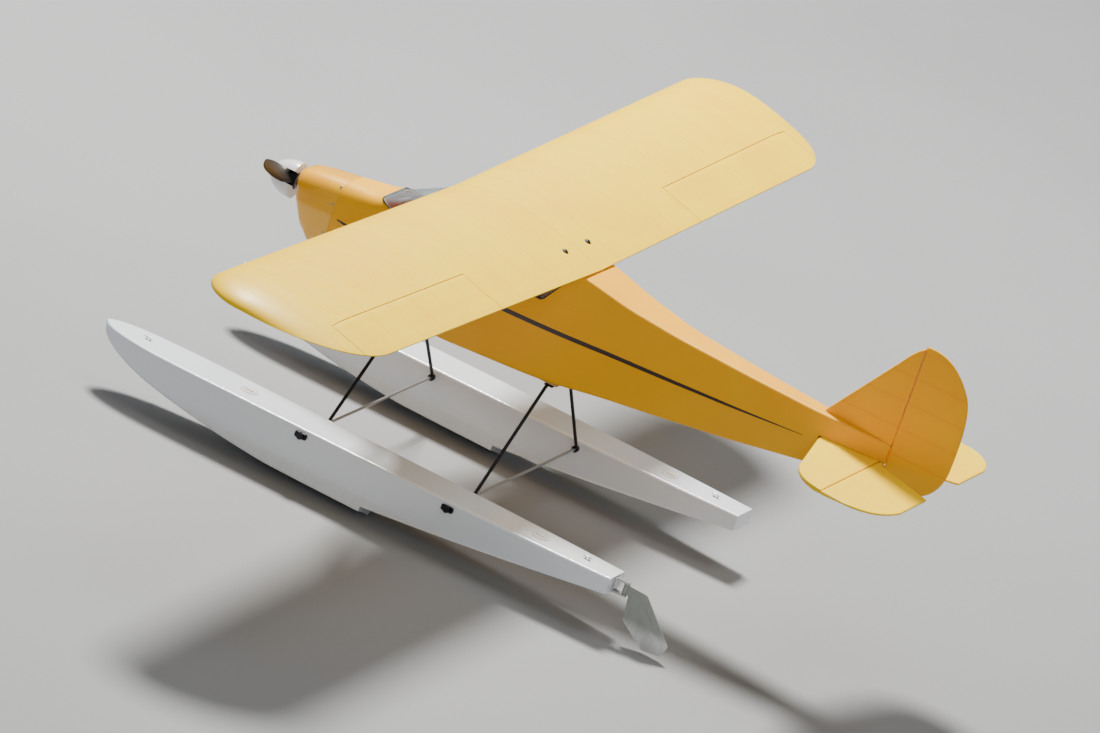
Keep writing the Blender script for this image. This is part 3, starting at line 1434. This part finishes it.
# A pan-head screw with a hollow in its head; it stands at a point of the row frame
def panScrew(spot, normal, radius=0.0022):
    profile = [(-0.0004, radius * 0.5), (-0.0004, radius), (0.0005, radius), (0.0011, radius * 0.82),
               (0.0013, radius * 0.48), (0.0006, radius * 0.40)]
    return turnedSurface(profile, spot, normal, 14)


# The engine behind the propeller: case and shaft on the thrust line, finned cylinder, carburettor
# and the beams that carry it
engine = dict(
    cylinder=0.108,
    finRadius=0.0160,
    barrel=0.0122,
    finPitch=0.0036,
    fins=7,
    firstFin=0.003,
    foot=0.0070,
    carburettor=0.0780,
    choke=0.0175,  # height of the throttle barrel that lies across the carburettor
    beamFrom=0.094,
    beamHalf=0.0035,
    beamAcross=0.0205,
    lugs=(0.098, 0.122),
    lugAcross=0.018,
    lugHalf=0.006,
    lugScrews=(0.1015, 0.1185),
    mount=[(0.1425, -0.027, -0.030), (0.1496, 0.027, 0.016)],
)


# The case turned about the thrust line: washer, shaft housing, crankcase and rear cover
def engineCase():
    profile = [(0.0502, 0.0052), (0.0502, 0.0112), (0.0508, 0.0120), (0.0535, 0.0120), (0.0545, 0.0090),
               (0.0575, 0.0075), (0.0575, 0.0095), (0.0600, 0.0100), (0.0760, 0.0100), (0.0860, 0.0140),
               (0.0880, 0.0168), (0.1240, 0.0172), (0.1245, 0.0184), (0.1290, 0.0184), (0.1300, 0.0160),
               (0.1300, 0.0040)]
    return turnedSurface(profile, place(0.0, 0.0, 0.0), (1, 0, 0), 48)


# The cylinder turned about its own axis: its fins, then the head with the glow plug on it
def engineCylinder():
    barrel, finRadius = engine["barrel"], engine["finRadius"]
    profile = [(0.0, 0.006), (0.0, barrel)]
    for fin in range(engine["fins"]):
        low = engine["firstFin"] + fin * engine["finPitch"]
        profile += [(low, barrel), (low + 0.0003, finRadius),
                    (low + 0.0016, finRadius), (low + 0.0019, barrel)]
    top = engine["firstFin"] + engine["fins"] * engine["finPitch"]
    head = [(0.0, barrel), (0.0, 0.0140), (0.0030, 0.0135), (0.0036, 0.0110)]
    plug = [(0.0036, 0.0032), (0.0060, 0.0030), (0.0062, 0.0018)]
    profile += [(top + rise, radius) for rise, radius in (*head, *plug)]
    return turnedSurface(profile, place(engine["cylinder"], 0.0, engine["foot"]), (0, 0, 1), 40)


# The carburettor: its body, the throttle barrel across it and the needle on the right
def carburettor():
    station, choke = engine["carburettor"], engine["choke"]
    return [barBetween((station, 0, 0.007), (station, 0, 0.0245), 0.0062),
            barBetween((station, -0.014, choke), (station, 0.012, choke), 0.0036),
            barBetween((station, 0.010, choke), (station, 0.027, 0.0195), 0.0011, 8)]


# The engine with its lugs and screws on two beams, before a mounting plate
def addEngine():
    parts = [engineCase(), engineCylinder(), *carburettor()]
    half = engine["beamHalf"]
    for side in sides.values():
        across = side * engine["beamAcross"]
        parts.append(roundedBlock((engine["beamFrom"], across - half, -0.009),
                                  (airframe["firewall"] - 0.0004, across + half, -0.001), "across"))
        parts.append(levelBlock(*engine["lugs"], side * engine["lugAcross"], engine["lugHalf"],
                                -0.001, 0.002))
        for station in engine["lugScrews"]:
            parts.append(panScrew(place(station, across, 0.0018), (0, 0, 1), 0.0024))
    parts.append(roundedBlock(*engine["mount"], "along", 0.004))
    makePiece("engine_detail", merged(*parts), "engine", smooth=40,
              replaces=["engine_block"])


exhaust = dict(
    can=(0.104, 0.0355, -0.030),
    header=[(0.110, 0.010, 0.004), (0.110, 0.024, 0.002), (0.113, 0.0330, -0.0240)],
    headerRadius=0.0052,
    headerBend=0.006,
    pipe=[(0.1212, 0.0365, -0.040), (0.1280, 0.0370, -0.1058)],
    pipeRadius=0.0055,
    bore=0.0043,
    boreDepth=0.0140,
    clampFrom=0.0300,  # the clamp's ends, measured from the pipe's open end
    clampTo=0.0260,
)


# The exhaust: a bent header, a can with domed ends and a seam, and an open tail pipe
def addExhaust():
    can = [(0.0, 0.003), (0.0006, 0.0075), (0.0030, 0.0102), (0.0060, 0.0110), (0.0190, 0.0110),
           (0.0193, 0.0115), (0.0222, 0.0115), (0.0225, 0.0110), (0.0350, 0.0110), (0.0390, 0.0098),
           (0.0415, 0.0070), (0.0420, 0.003)]
    header = roundedPath(place(*np.array(exhaust["header"]).T), exhaust["headerBend"])
    start, end = (place(*spot) for spot in exhaust["pipe"])
    length = float(np.linalg.norm(end - start))
    radius, bore, floor = exhaust["pipeRadius"], exhaust["bore"], length - exhaust["boreDepth"]
    pipe = [(0.0, 0.003), (0.0, radius), (length - 0.0004, radius), (length, radius - 0.0004),
            (length, bore), (floor, bore - 0.0002), (floor, 0.0006)]
    front, rear = length - exhaust["clampFrom"], length - exhaust["clampTo"]
    clamp = [(front, radius - 0.0005), (front, radius + 0.0006),
             (rear, radius + 0.0006), (rear, radius - 0.0005)]
    parts = [turnedSurface(can, place(*exhaust["can"]), (1, 0, 0), 36),
             tubeSurface(header, exhaust["headerRadius"], 18),
             turnedSurface(pipe, start, end - start, 28),
             turnedSurface(clamp, start, end - start, 28)]
    makePiece("exhaust_detail", merged(*parts), "exhaust", smooth=40,
              replaces=["exhaust_pipe"])


# Screws round the cowl's rear edge, square to its skin there
def addCowlScrews():
    station = np.array([cowl["screwStation"]])
    ring = bodyRings(station, tableAt(cowlTable, station))[0]
    half = ring[: len(ring) // 2 + 1]
    parts = []
    for height in cowl["screwHeights"]:
        spot = int(np.argmin(np.abs(half[:, 2] - airframe["thrustHeight"] - height)))
        spot = min(max(spot, 1), len(half) - 2)
        edge = half[spot + 1] - half[spot - 1]
        normal = np.array([0.0, edge[2], -edge[1]]) / np.hypot(edge[1], edge[2])
        for side in sides.values():
            flip = np.array([1, side, 1])
            parts.append(panScrew(half[spot] * flip, normal * flip))
    makePiece("cowl_screws", merged(*parts), "steel")


addSpinner()
addPropeller()
addEngine()
addExhaust()
addCowlScrews()
print("nose made")

# Struts: lift struts, wire float struts and the rods through the floats
gear = dict(
    stations=dict(front=0.320, rear=0.606),
    plateDrop=dict(front=0.003, rear=0.006),
    plateRear=0.018,
    plateGap=0.0003,
    rodHeight=0.093,
    rodRadius=0.0025,
    rodEnd=0.314,
    strutRadius=0.003,
    footInner=0.008,
    footOuter=0.044,
    clampInner=0.198,
    clampOuter=0.206,
    clampRadius=0.006,
    bend=0.010,
    plateInner=0.0455,  # from the float's middle to the end plate's inner face
    plateHalf=0.0115,
    plateHalfHeight=0.0055,
    plateScrew=0.0085,
    endCollar=0.005,
    liftHalf=0.003,
)
liftStruts = dict(
    front=((0.346, 0.058, -0.104), (0.372, 0.565, 0.118)),
    rear=((0.368, 0.058, -0.104), (0.502, 0.550, 0.112)),
)


# Underside of the strut plate at a station, as in the part
def plateBottom(where):
    station = gear["stations"][where] + gear["plateRear"]
    bottom = np.interp(station, fuselageTable["x"], fuselageTable["bottom"])
    return float(bottom) - gear["plateGap"] - gear["plateDrop"][where]


# A closed collar with chamfered ends about a line across the aeroplane
def collarSurface(station, fromY, toY, height, radius, bore):
    length = abs(toY - fromY)
    profile = [(0, bore), *chamferedRims(length, radius, 0.0006), (length, bore)]
    return turnedSurface(profile, place(station, min(fromY, toY), height), (0, 1, 0), 28)


# A set screw's socket head, standing up a little from a collar
def setScrew(station, across, height, turn=(0, 0, 1)):
    radius, rise = 0.0016, 0.0012
    profile = [(0, radius * 0.9), (rise, radius), (rise, radius * 0.55), (rise * 0.4, radius * 0.5)]
    return turnedSurface(profile, place(station, across, height), turn, 12)


# What holds a rod's end on the float's outer side: a plate with two screws and a set collar
def rodFitting(station, side, rodZ):
    end = side * gear["rodEnd"]
    face = end - side * (gear["endCollar"] + 0.0002)
    low, high = sorted((side * (floats["track"] + gear["plateInner"]), face))
    half, rise = gear["plateHalf"], gear["plateHalfHeight"]
    parts = [roundedBlock((station - half, low, rodZ - rise), (station + half, high, rodZ + rise),
                          "across", 0.004),
             collarSurface(station, end - side * gear["endCollar"], end, rodZ, 0.006, 0.0015),
             setScrew(station, end - side * gear["endCollar"] / 2, rodZ + 0.0058)]
    for step in (-gear["plateScrew"], gear["plateScrew"]):
        parts.append(panScrew(place(station + step, face, rodZ), (0, side, 0), 0.0016))
    return merged(*parts)


# Wires from under the strut plates down to their clamps on the rods, each bent once
def addFloatStruts():
    rodZ = gear["rodHeight"] - airframe["thrustHeight"]
    for where, station in gear["stations"].items():
        foot = plateBottom(where) - gear["plateGap"] - gear["strutRadius"]
        middle = (gear["clampInner"] + gear["clampOuter"]) / 2
        for sideName, side in sides.items():
            corners = place(station, side * np.array([gear["footInner"], gear["footOuter"], middle]),
                            np.array([foot, foot, rodZ + 0.004]))
            wire = tubeSurface(roundedPath(corners, gear["bend"]), gear["strutRadius"], 18)
            clamp = collarSurface(station, side * gear["clampInner"], side * gear["clampOuter"], rodZ,
                                  gear["clampRadius"], gear["rodRadius"] + 0.00045)
            screw = setScrew(station, side * middle, rodZ - gear["clampRadius"] + 0.0002, (0, 0, -1))
            name = f"{where}_{sideName}"
            makePiece(f"wire_strut_{name}", merged(wire, clamp, screw), "wire",
                      replaces=[f"float_strut_{name}"])
        ends = np.linspace(-gear["rodEnd"] + 0.0006, gear["rodEnd"] - 0.0006, 21)
        rod = tubeSurface(place(station, ends, rodZ), gear["rodRadius"], 18)
        makePiece(f"cross_rod_{where}", rod, "steel",
                  replaces=[f"spreader_rod_{where}"])
        for sideName, side in sides.items():
            makePiece(f"rod_fitting_{where}_{sideName}", rodFitting(station, side, rodZ), "wire")


# A streamlined bar: a fore-and-aft section 2.3 times as long as it is thick, drawn in at its ends
def liftStrutSurface(foot, head):
    share = np.linspace(0, 1, 60)[:, None]
    length = np.linalg.norm(head - foot)
    axis = (head - foot) / length
    path = foot + (head - foot) * share
    fore = unit(np.array([1.0, 0, 0]) - axis * axis[0])
    up = np.cross(axis, fore)
    angle = np.linspace(0, 2 * np.pi, 24, endpoint=False)[None, :, None]
    taper = 0.55 + 0.45 * fadeBetween(np.minimum(share, 1 - share) * length, 0.004, 0.03)[..., None]
    chordwise = np.cos(angle) * 2.3 * (1 - 0.12 * np.cos(angle))
    thickness = np.sin(angle) * (1 - 0.22 * np.cos(angle))
    section = chordwise * fore + thickness * up * 0.98
    return ringSkin(path[:, None] + gear["liftHalf"] * taper * section)


# A lift strut's foot and head on one side, and the direction from one to the other
def strutLine(foot, head, side):
    start, end = (place(spot[0], side * spot[1], spot[2]) for spot in (foot, head))
    return start, end, unit(end - start)


# Each strut stops a little short of its ends, where the tabs take over
def addLiftStruts():
    for where, (foot, head) in liftStruts.items():
        for sideName, side in sides.items():
            start, end, axis = strutLine(foot, head, side)
            strut = liftStrutSurface(start + axis * 0.0055, end - axis * 0.0065)
            name = f"{where}_{sideName}"
            makePiece(f"wing_strut_{name}", strut, "strutPaint",
                      replaces=[f"lift_strut_{name}"])


addFloatStruts()
addLiftStruts()
print("struts made")

# Fittings: deck caps, cleats, wire clamps, strut ends and the water rudder
fittings = dict(
    capStations=(0.190, 0.760),
    capRadius=0.0165,
    gripHalf=0.0011,
    cleatStations=(-0.010, 0.850),
    cleatHalf=0.0085,
    cleatRise=0.0052,
    cleatDroop=0.0008,
    cleatFoot=0.0032,
    clampHalf=(0.0055, 0.0085),
    clampAcross=(0.016, 0.034),
    clampThick=0.0016,
    clampScrew=0.0055,
    tabHalf=0.0013,
    tabFlat=3.2,
    tabLength=0.019,
    tabBolt=0.0135,
)


# The line along the middle of a float's deck: its span and height
def deckLine(side):
    return side * floats["track"], floats["deck"] - airframe["thrustHeight"]


# A screwed-in inspection cap: a ring, a groove and a dished lid with a raised grip along it
def deckCap(station, side):
    radius, half = fittings["capRadius"], fittings["gripHalf"]
    ring = [(-0.0004, radius * 0.98), (0.0004, radius), (0.0010, radius - 0.0006),
            (0.0011, radius * 0.86)]
    groove = [(0.0003, radius * 0.85), (0.0003, radius * 0.82)]
    lid = [(0.0012, radius * 0.80), (0.0014, radius * 0.72), (0.0008, radius * 0.62),
           (0.0007, radius * 0.05)]
    (across, deck), reach = deckLine(side), radius * 0.55
    grip = levelBlock(station - reach, station + reach, across, half, deck + 0.0004,
                      deck + 0.0022, 0.0008, 0.0004)
    spot = place(station, across, deck)
    return merged(turnedSurface([*ring, *groove, *lid], spot, (0, 0, 1), 44), grip)


# A cleat: two feet and a bar that droops a little to both ends
def cleatSurface(station, side):
    across, deck = deckLine(side)
    along = np.linspace(-1, 1, 15)
    rise = fittings["cleatRise"] - fittings["cleatDroop"] * along**2
    bar = place(station + fittings["cleatHalf"] * along, across, deck + rise)
    radius = 0.0011 * np.sqrt(np.clip(1.08 - along**6, 0, 1))
    foot = [(0.0, 0.0024), (0.0008, 0.0022), (0.0012, 0.0012), (fittings["cleatRise"], 0.0010)]
    parts = [tubeSurface(bar, radius, 12)]
    for step in (-fittings["cleatFoot"], fittings["cleatFoot"]):
        spot = place(station + step, across, deck)
        parts.append(turnedSurface(foot, spot, (0, 0, 1), 14))
    return merged(*parts)


# Plates that hold a wire strut's foot under the fuselage, each with two screws
def wireClamps(where, side):
    high = plateBottom(where) - gear["plateGap"] - 2 * gear["strutRadius"]
    low = high - fittings["clampThick"]
    station, (half, reach) = gear["stations"][where], fittings["clampHalf"]
    parts = []
    for across in fittings["clampAcross"]:
        middle = side * across
        parts.append(levelBlock(station - reach, station + reach, middle, half, low,
                                high + 0.0001, 0.0022, 0.0004))
        for step in (-fittings["clampScrew"], fittings["clampScrew"]):
            parts.append(panScrew(place(station + step, middle, low), (0, 0, -1), 0.0019))
    return merged(*parts)


# A flat tab at each end of a lift strut with a bolt through it
def strutTabs(strut, side):
    start, end, axis = strutLine(*strut, side)
    bolt = [(-0.0042, 0.0012), (-0.0042, 0.0022), (-0.0030, 0.0024), (-0.0030, 0.0012),
            (0.0030, 0.0012), (0.0030, 0.0024), (0.0042, 0.0022), (0.0042, 0.0012)]
    parts = []
    for spot, way, hidden in ((start, axis, -0.003), (end, -axis, 0.002)):
        path = spot + way * np.linspace(hidden, fittings["tabLength"], 8)[:, None]
        parts.append(tubeSurface(path, fittings["tabHalf"], 16, fittings["tabFlat"]))
        across = unit(np.cross(way, [1.0, 0, 0]))
        parts.append(turnedSurface(bolt, spot + way * fittings["tabBolt"], across, 14))
    return merged(*parts)


waterRudder = dict(
    hinge=0.930,
    across=-0.260,
    bottom=-0.301,
    top=-0.281,
    endGap=0.0003,
    half=0.00125,
    corner=0.0035,
    ribRadius=0.0012,
    outline=[(0.930, -0.3000), (0.939, -0.3000), (0.944, -0.343), (0.992, -0.376), (1.026, -0.372),
             (1.034, -0.351), (0.970, -0.284), (0.930, -0.2822)],
    middle=(0.950, -0.2975),
    stiffener=[(0.938, -0.2890), (0.962, -0.2925), (0.986, -0.3165), (1.006, -0.3370)],
    wall=[(0.0, 0.0016), (0.0, 0.0036), (0.0004, 0.0040), (0.0030, 0.0040),
          (0.0034, 0.0036), (0.0042, 0.0036), (0.0046, 0.0040)],  # each end, past its groove
    screw=(0.91315, 0.0082, -0.2910),
)


# The blade with a chamfered rim and rounded corners, a pressed rib on both faces, and its
# hinge barrel with a turned groove at each end; the barrel's bore stays clear round the pin
def addWaterRudder():
    across, half, wall = waterRudder["across"], waterRudder["half"], waterRudder["wall"]
    outline = roundedOutline(waterRudder["outline"], waterRudder["corner"])
    parts = [plateSurface(outline, across - half, across + half, "across", 0.0007,
                          waterRudder["middle"])]
    rib = roundedPath(np.array(waterRudder["stiffener"]), 0.006)
    for side in sides.values():
        path = place(rib[:, 0], across + side * (half - 0.0003), rib[:, 1])
        parts.append(tubeSurface(path, waterRudder["ribRadius"], 10))
    low = waterRudder["bottom"] + waterRudder["endGap"]
    length = waterRudder["top"] - waterRudder["endGap"] - low
    profile = [*wall, *[(length - step, radius) for step, radius in reversed(wall)], wall[0]]
    foot = place(waterRudder["hinge"], across, low)
    parts.append(turnedSurface(profile, foot, (0, 0, 1), 28, capped=False))
    makePiece("water_rudder_blade", merged(*parts), "rudderGrey", "water_rudder",
              40, replaces=["water_rudder"])
    station, reach, height = waterRudder["screw"]
    for sideName, side in sides.items():
        screw = panScrew(place(station, across + side * reach, height), (1, 0, 0), 0.0018)
        makePiece(f"rudder_bracket_screw_{sideName}", screw, "steel")


# The fittings that are alike on both sides, each kind at all of its places there
def addFittings():
    kinds = dict(
        deck_caps=(deckCap, fittings["capStations"], "floatFitting"),
        cleats=(cleatSurface, fittings["cleatStations"], "steel"),
        wire_clamps=(wireClamps, gear["stations"], "rubber"),
        strut_tabs=(strutTabs, liftStruts.values(), "steel"),
    )
    for sideName, side in sides.items():
        for kind, (surface, places, finish) in kinds.items():
            parts = merged(*(surface(where, side) for where in places))
            makePiece(f"{kind}_{sideName}", parts, finish)


addWaterRudder()
addFittings()
print("fittings made")

# Radio gear in the cabin: servos on two rails, receiver and battery pack, with their leads
radio = dict(
    servos=dict(elevator=-0.038, rudder=0.0, throttle=0.038),
    tray=-0.030,
    trayGap=0.0002,
    front=0.470,
    rear=0.510,
    half=0.010,
    caseTop=-0.0090,
    lug=-0.0135,
    lugReach=0.0072,
    lugHalf=0.009,
    lugThick=0.0025,
    lugScrew=(0.0040, 0.0050),
    lidTop=-0.0046,
    arm=(0.010, -0.0020),
    armHalf=0.0150,
    armHub=0.0030,
    armTurn=dict(elevator=8.0, rudder=-4.0, throttle=24.0),
    railHalf=0.053,
    railWidth=0.008,
    receiver=[(0.392, -0.052), (0.448, -0.014)],
    receiverTop=-0.0100,
    socketTop=-0.0125,
    socketDepth=0.0045,
    leadRadius=0.0012,
    leadBeside=0.0145,
    batteryLeadRadius=0.0014,
    cellRadius=0.0105,
    cells=(0.0205, 0.0415),
    valley=0.72,
    battery=(0.390, 0.452),
)


# A servo arm: its reach from the hub follows a high power of the cosine, which gives it two
# tapering ends; it is turned a little and has a screw in its middle
def servoArm(station, across, height, turn):
    angle = np.linspace(0, 2 * np.pi, 48, endpoint=False)
    reach = radio["armHub"] + (radio["armHalf"] - radio["armHub"]) * np.abs(np.cos(angle)) ** 14
    turned = angle + math.radians(turn)
    outline = np.column_stack([station + reach * np.sin(turned), across + reach * np.cos(turned)])
    arm = plateSurface(outline, height, height + 0.0018, "level", 0.0002)
    hub = turnedSurface([(-0.0030, 0.0042), (0.0006, 0.0042), (0.0024, 0.0036), (0.0024, 0.0016)],
                        place(station, across, height), (0, 0, 1), 24)
    return merged(arm, hub, panScrew(place(station, across, height + 0.0023), (0, 0, 1), 0.0014))


# A servo: case, lugs with four screws, a lid set in from the case, and its arm
def servoBody(name, across):
    low, half, lug = radio["tray"] + radio["trayGap"], radio["half"], radio["lug"]
    front, rear, top = radio["front"], radio["rear"], radio["caseTop"]
    reach, (beyond, beside) = radio["lugReach"], radio["lugScrew"]
    parts = [levelBlock(front, rear, across, half, low, top, 0.0015),
             levelBlock(front - reach, rear + reach, across, radio["lugHalf"], lug,
                        lug + radio["lugThick"], 0.002, 0.0003),
             levelBlock(front + 0.001, rear - 0.001, across, half - 0.0006, top - 0.0002,
                        radio["lidTop"], 0.0015)]
    for station in (front - beyond, rear + beyond):
        parts += [panScrew(place(station, across + step, lug + 0.0024), (0, 0, 1), 0.0018)
                  for step in (-beside, beside)]
    station, height = radio["arm"]
    return merged(*parts, servoArm(front + station, across, height, radio["armTurn"][name]))


# The three servos and the two rails under their lugs
def addServos():
    for name, across in radio["servos"].items():
        makePiece(f"servo_detail_{name}", servoBody(name, across), "black",
                  smooth=32, replaces=[f"servo_{name}"])
    low, high = radio["tray"] + radio["trayGap"], radio["lug"] - 0.0001
    rails = [levelBlock(start, start + radio["railWidth"], 0.0, radio["railHalf"], low, high,
                        0.001, 0.0003)
             for start in (radio["front"] - 0.0094, radio["rear"] + 0.0014)]
    makePiece("servo_rails", merged(*rails), "plywood")


# A lead's smooth tube through its points, which are given in station, span and height
def leadSurface(points, radius):
    return tubeSurface(smoothPath(place(*np.array(points).T)), radius, 8)


# The receiver's case with its row of sockets behind, and the three servo leads into it
def addReceiver():
    (front, left), (rear, right) = radio["receiver"]
    low, middle, half = radio["tray"] + radio["trayGap"], (left + right) / 2, (right - left) / 2
    parts = [levelBlock(front, rear - 0.004, middle, half, low, radio["receiverTop"], 0.003, 0.0012),
             levelBlock(rear - radio["socketDepth"], rear, middle, half - 0.003, low + 0.002,
                        radio["socketTop"], 0.001)]
    makePiece("receiver_detail", merged(*parts), "rubber",
              replaces=["receiver"])
    for (name, across), step in zip(radio["servos"].items(), (-0.012, 0.0, 0.012)):
        beside = across + radio["leadBeside"]
        points = [(radio["front"] + 0.006, across + radio["half"] - 0.0005, -0.020),
                  (radio["front"] - 0.001, beside, -0.0118),
                  (0.4595, beside, -0.0116),
                  (0.4540, middle + step, -0.0190),
                  (rear - 0.0008, middle + step, -0.0205)]
        makePiece(f"servo_lead_{name}", leadSurface(points, radio["leadRadius"]), "rubber")


# Two cells in shrink wrap: a circle about each one's middle, with the wrap stretched over the
# valley between them
def addBattery():
    radius, (left, right) = radio["cellRadius"], radio["cells"]
    across = left - radius + (right - left + 2 * radius) * cosineShares(49)
    near = np.minimum(np.abs(across - left), np.abs(across - right))
    high = np.sqrt(np.clip(radius**2 - near**2, 0, None))
    valley = np.maximum(high, radio["valley"] * radius)
    high = np.where((across > left) & (across < right), valley, high)
    middle = radio["tray"] + radius + 0.0003
    outline = np.column_stack([np.concatenate([across, across[-2:0:-1]]),
                               middle + np.concatenate([high, -high[-2:0:-1]])])
    start, end = radio["battery"]
    makePiece("battery_detail", plateSurface(outline, start, end, "along", 0.0012), "battery",
              replaces=["battery_pack"])
    points = [(end - 0.002, 0.031, middle),
              (end + 0.003, 0.028, middle - 0.001),
              (end + 0.002, 0.006, -0.026),
              (0.4490, -0.018, -0.0215),
              (0.4470, -0.020, -0.0205)]
    makePiece("battery_lead", leadSurface(points, radio["batteryLeadRadius"]), "rubber")


# A servo's cover under each wing panel: a thin plate that follows the underside, with its screws
cover = dict(
    span=0.635,
    share=0.600,
    halfSpan=0.032,
    halfShare=0.075,
    thick=0.0010,
    rounding=0.16,  # in halves of the cover's width, as its corners are
    screw=(0.85, 0.84),
)


# Rings of the cover's outline, each drawn at a scale and let down from the wing's underside
def servoCover(side):
    corners = [(-1, -1), (1, -1), (1, 1), (-1, 1)]
    outline = roundedOutline(corners, cover["rounding"], 5)

    def onUnderside(scale, drop):
        span = cover["span"] + outline[:, 0] * cover["halfSpan"] * scale
        share = cover["share"] + outline[:, 1] * cover["halfShare"] * scale
        return wingSkin(side, span, share, -1) - [0, 0, drop]

    steps = [(1.0, -0.0004), (1.0, cover["thick"] * 0.6), (0.98, cover["thick"])]
    steps += [(scale, cover["thick"]) for scale in (0.8, 0.55, 0.25)]
    parts = [ringSkin([onUnderside(*step) for step in steps])]
    for a, b in np.array(corners) * cover["screw"]:
        spot = wingSkin(side, cover["span"] + a * cover["halfSpan"],
                        np.array(cover["share"] + b * cover["halfShare"]), -1)
        parts.append(panScrew(spot - [0, 0, cover["thick"]], (0, 0, -1), 0.0017))
    return merged(*parts)


addServos()
addReceiver()
addBattery()
for sideName, side in sides.items():
    makePiece(f"servo_cover_{sideName}", servoCover(side), "shell")
print("radio gear made")

# CAD nodes that keep their own shape and get a finish here
cadFinishes = dict(
    strut_plate_front="plywood",
    strut_plate_rear="plywood",
    water_rudder_bracket="steel",
    radio_tray="plywood",
)
for node, finish in cadFinishes.items():
    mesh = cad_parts[node].data
    mesh.materials.clear()
    mesh.materials.append(finishes[finish])

# Floor, lights and camera
studio = dict(
    floorHalf=30.0,
    floorSteps=25,
    floorTones=(screenColour(140, 141, 143), screenColour(146, 147, 149)),
    aim=(-0.0075, 0.0, 0.380),
    distance=22.0,
    azimuth=19.30,
    elevation=19.72,
    roll=19.61,
    lens=432.0,
    offset=(-0.044, -0.080),  # along the picture's own sides, so that the aeroplane is in its middle
    sky=(0.93, 0.96, 1.0, 1.0),
    skyStrength=0.24,
)
lights = dict(  # each shines at the aim from a direction
    keyLight=dict(towards=(-0.38, 0.46, 0.95), distance=6.0, size=1.3, power=1100,
                  warmth=(1.0, 0.98, 0.93)),
    fillLight=dict(towards=(0.5, -0.9, 0.5), distance=7.0, size=4.0, power=100,
                   warmth=(1.0, 0.98, 0.95)),
    topLight=dict(towards=(0.2, 0.1, 1.0), distance=6.0, size=4.0, power=120,
                  warmth=(1.0, 1.0, 1.0)),
)


# A level square of floor with a faint, slow change of tone
def addFloor():
    floor = Finish("paleFloor", specular=0.3)
    tone = floor.noise(1.4, 2.0)
    colour = floor.mixed(tone.between(0.3, 0.7), *studio["floorTones"])
    material = floor.use(colour=colour, roughness=0.6 + floor.noise(0.5) * 0.1)
    half, steps = studio["floorHalf"], studio["floorSteps"]
    u, v = np.meshgrid(*[np.linspace(-half, half, steps)] * 2, indexing="ij")
    points = np.stack([u, v, np.zeros_like(u)], -1).reshape(-1, 3)
    index = np.arange(steps**2).reshape(steps, steps)
    quads = np.stack([index[:-1, :-1], index[1:, :-1], index[1:, 1:], index[:-1, 1:]], -1)
    mesh = meshOf("floor", (points, [quads.reshape(-1, 4)]))
    mesh.materials.append(material)
    piece = inScene("floor", mesh)


# A round lamp at a distance from the aim, turned towards it
def addLight(name, towards, distance, size, power, warmth):
    lamp = bpy.data.lights.new(name, "AREA")
    lamp.shape = "DISK"
    lamp.size = size
    lamp.energy = power
    lamp.color = warmth
    light = inScene(name, lamp)
    aim = Vector(studio["aim"])
    light.location = aim + Vector(towards).normalized() * distance
    light.rotation_euler = (aim - light.location).to_track_quat("-Z", "Y").to_euler()


# The camera looks back along its azimuth and elevation, rolled about its own line of sight
def addCamera():
    azimuth, elevation, roll = (math.radians(studio[key])
                                for key in ("azimuth", "elevation", "roll"))
    level = math.cos(elevation)
    back = Vector((math.sin(azimuth) * level, -math.cos(azimuth) * level, math.sin(elevation)))
    right = Vector((math.cos(azimuth), math.sin(azimuth), 0.0))
    up = back.cross(right)
    across = math.cos(roll) * right + math.sin(roll) * up
    upward = -math.sin(roll) * right + math.cos(roll) * up
    lens = bpy.data.cameras.new("camera")
    lens.lens = studio["lens"]
    lens.sensor_width = 36.0
    lens.clip_end = 200.0
    camera = inScene("camera", lens)
    turn = Matrix((across, upward, back)).transposed().to_4x4()
    right, rise = studio["offset"]
    centre = Vector(studio["aim"]) + across * right + upward * rise
    camera.matrix_world = Matrix.Translation(centre + back * studio["distance"]) @ turn
    bpy.context.scene.camera = camera


# A faint, even light from all round
def addWorld():
    world = bpy.data.worlds.new("studio")
    world.use_nodes = True
    background = world.node_tree.nodes["Background"]
    background.inputs["Color"].default_value = studio["sky"]
    background.inputs["Strength"].default_value = studio["skyStrength"]
    bpy.context.scene.world = world


addFloor()
for name, settings in lights.items():
    addLight(name, **settings)
addWorld()
addCamera()
print("floor, lights and camera set")
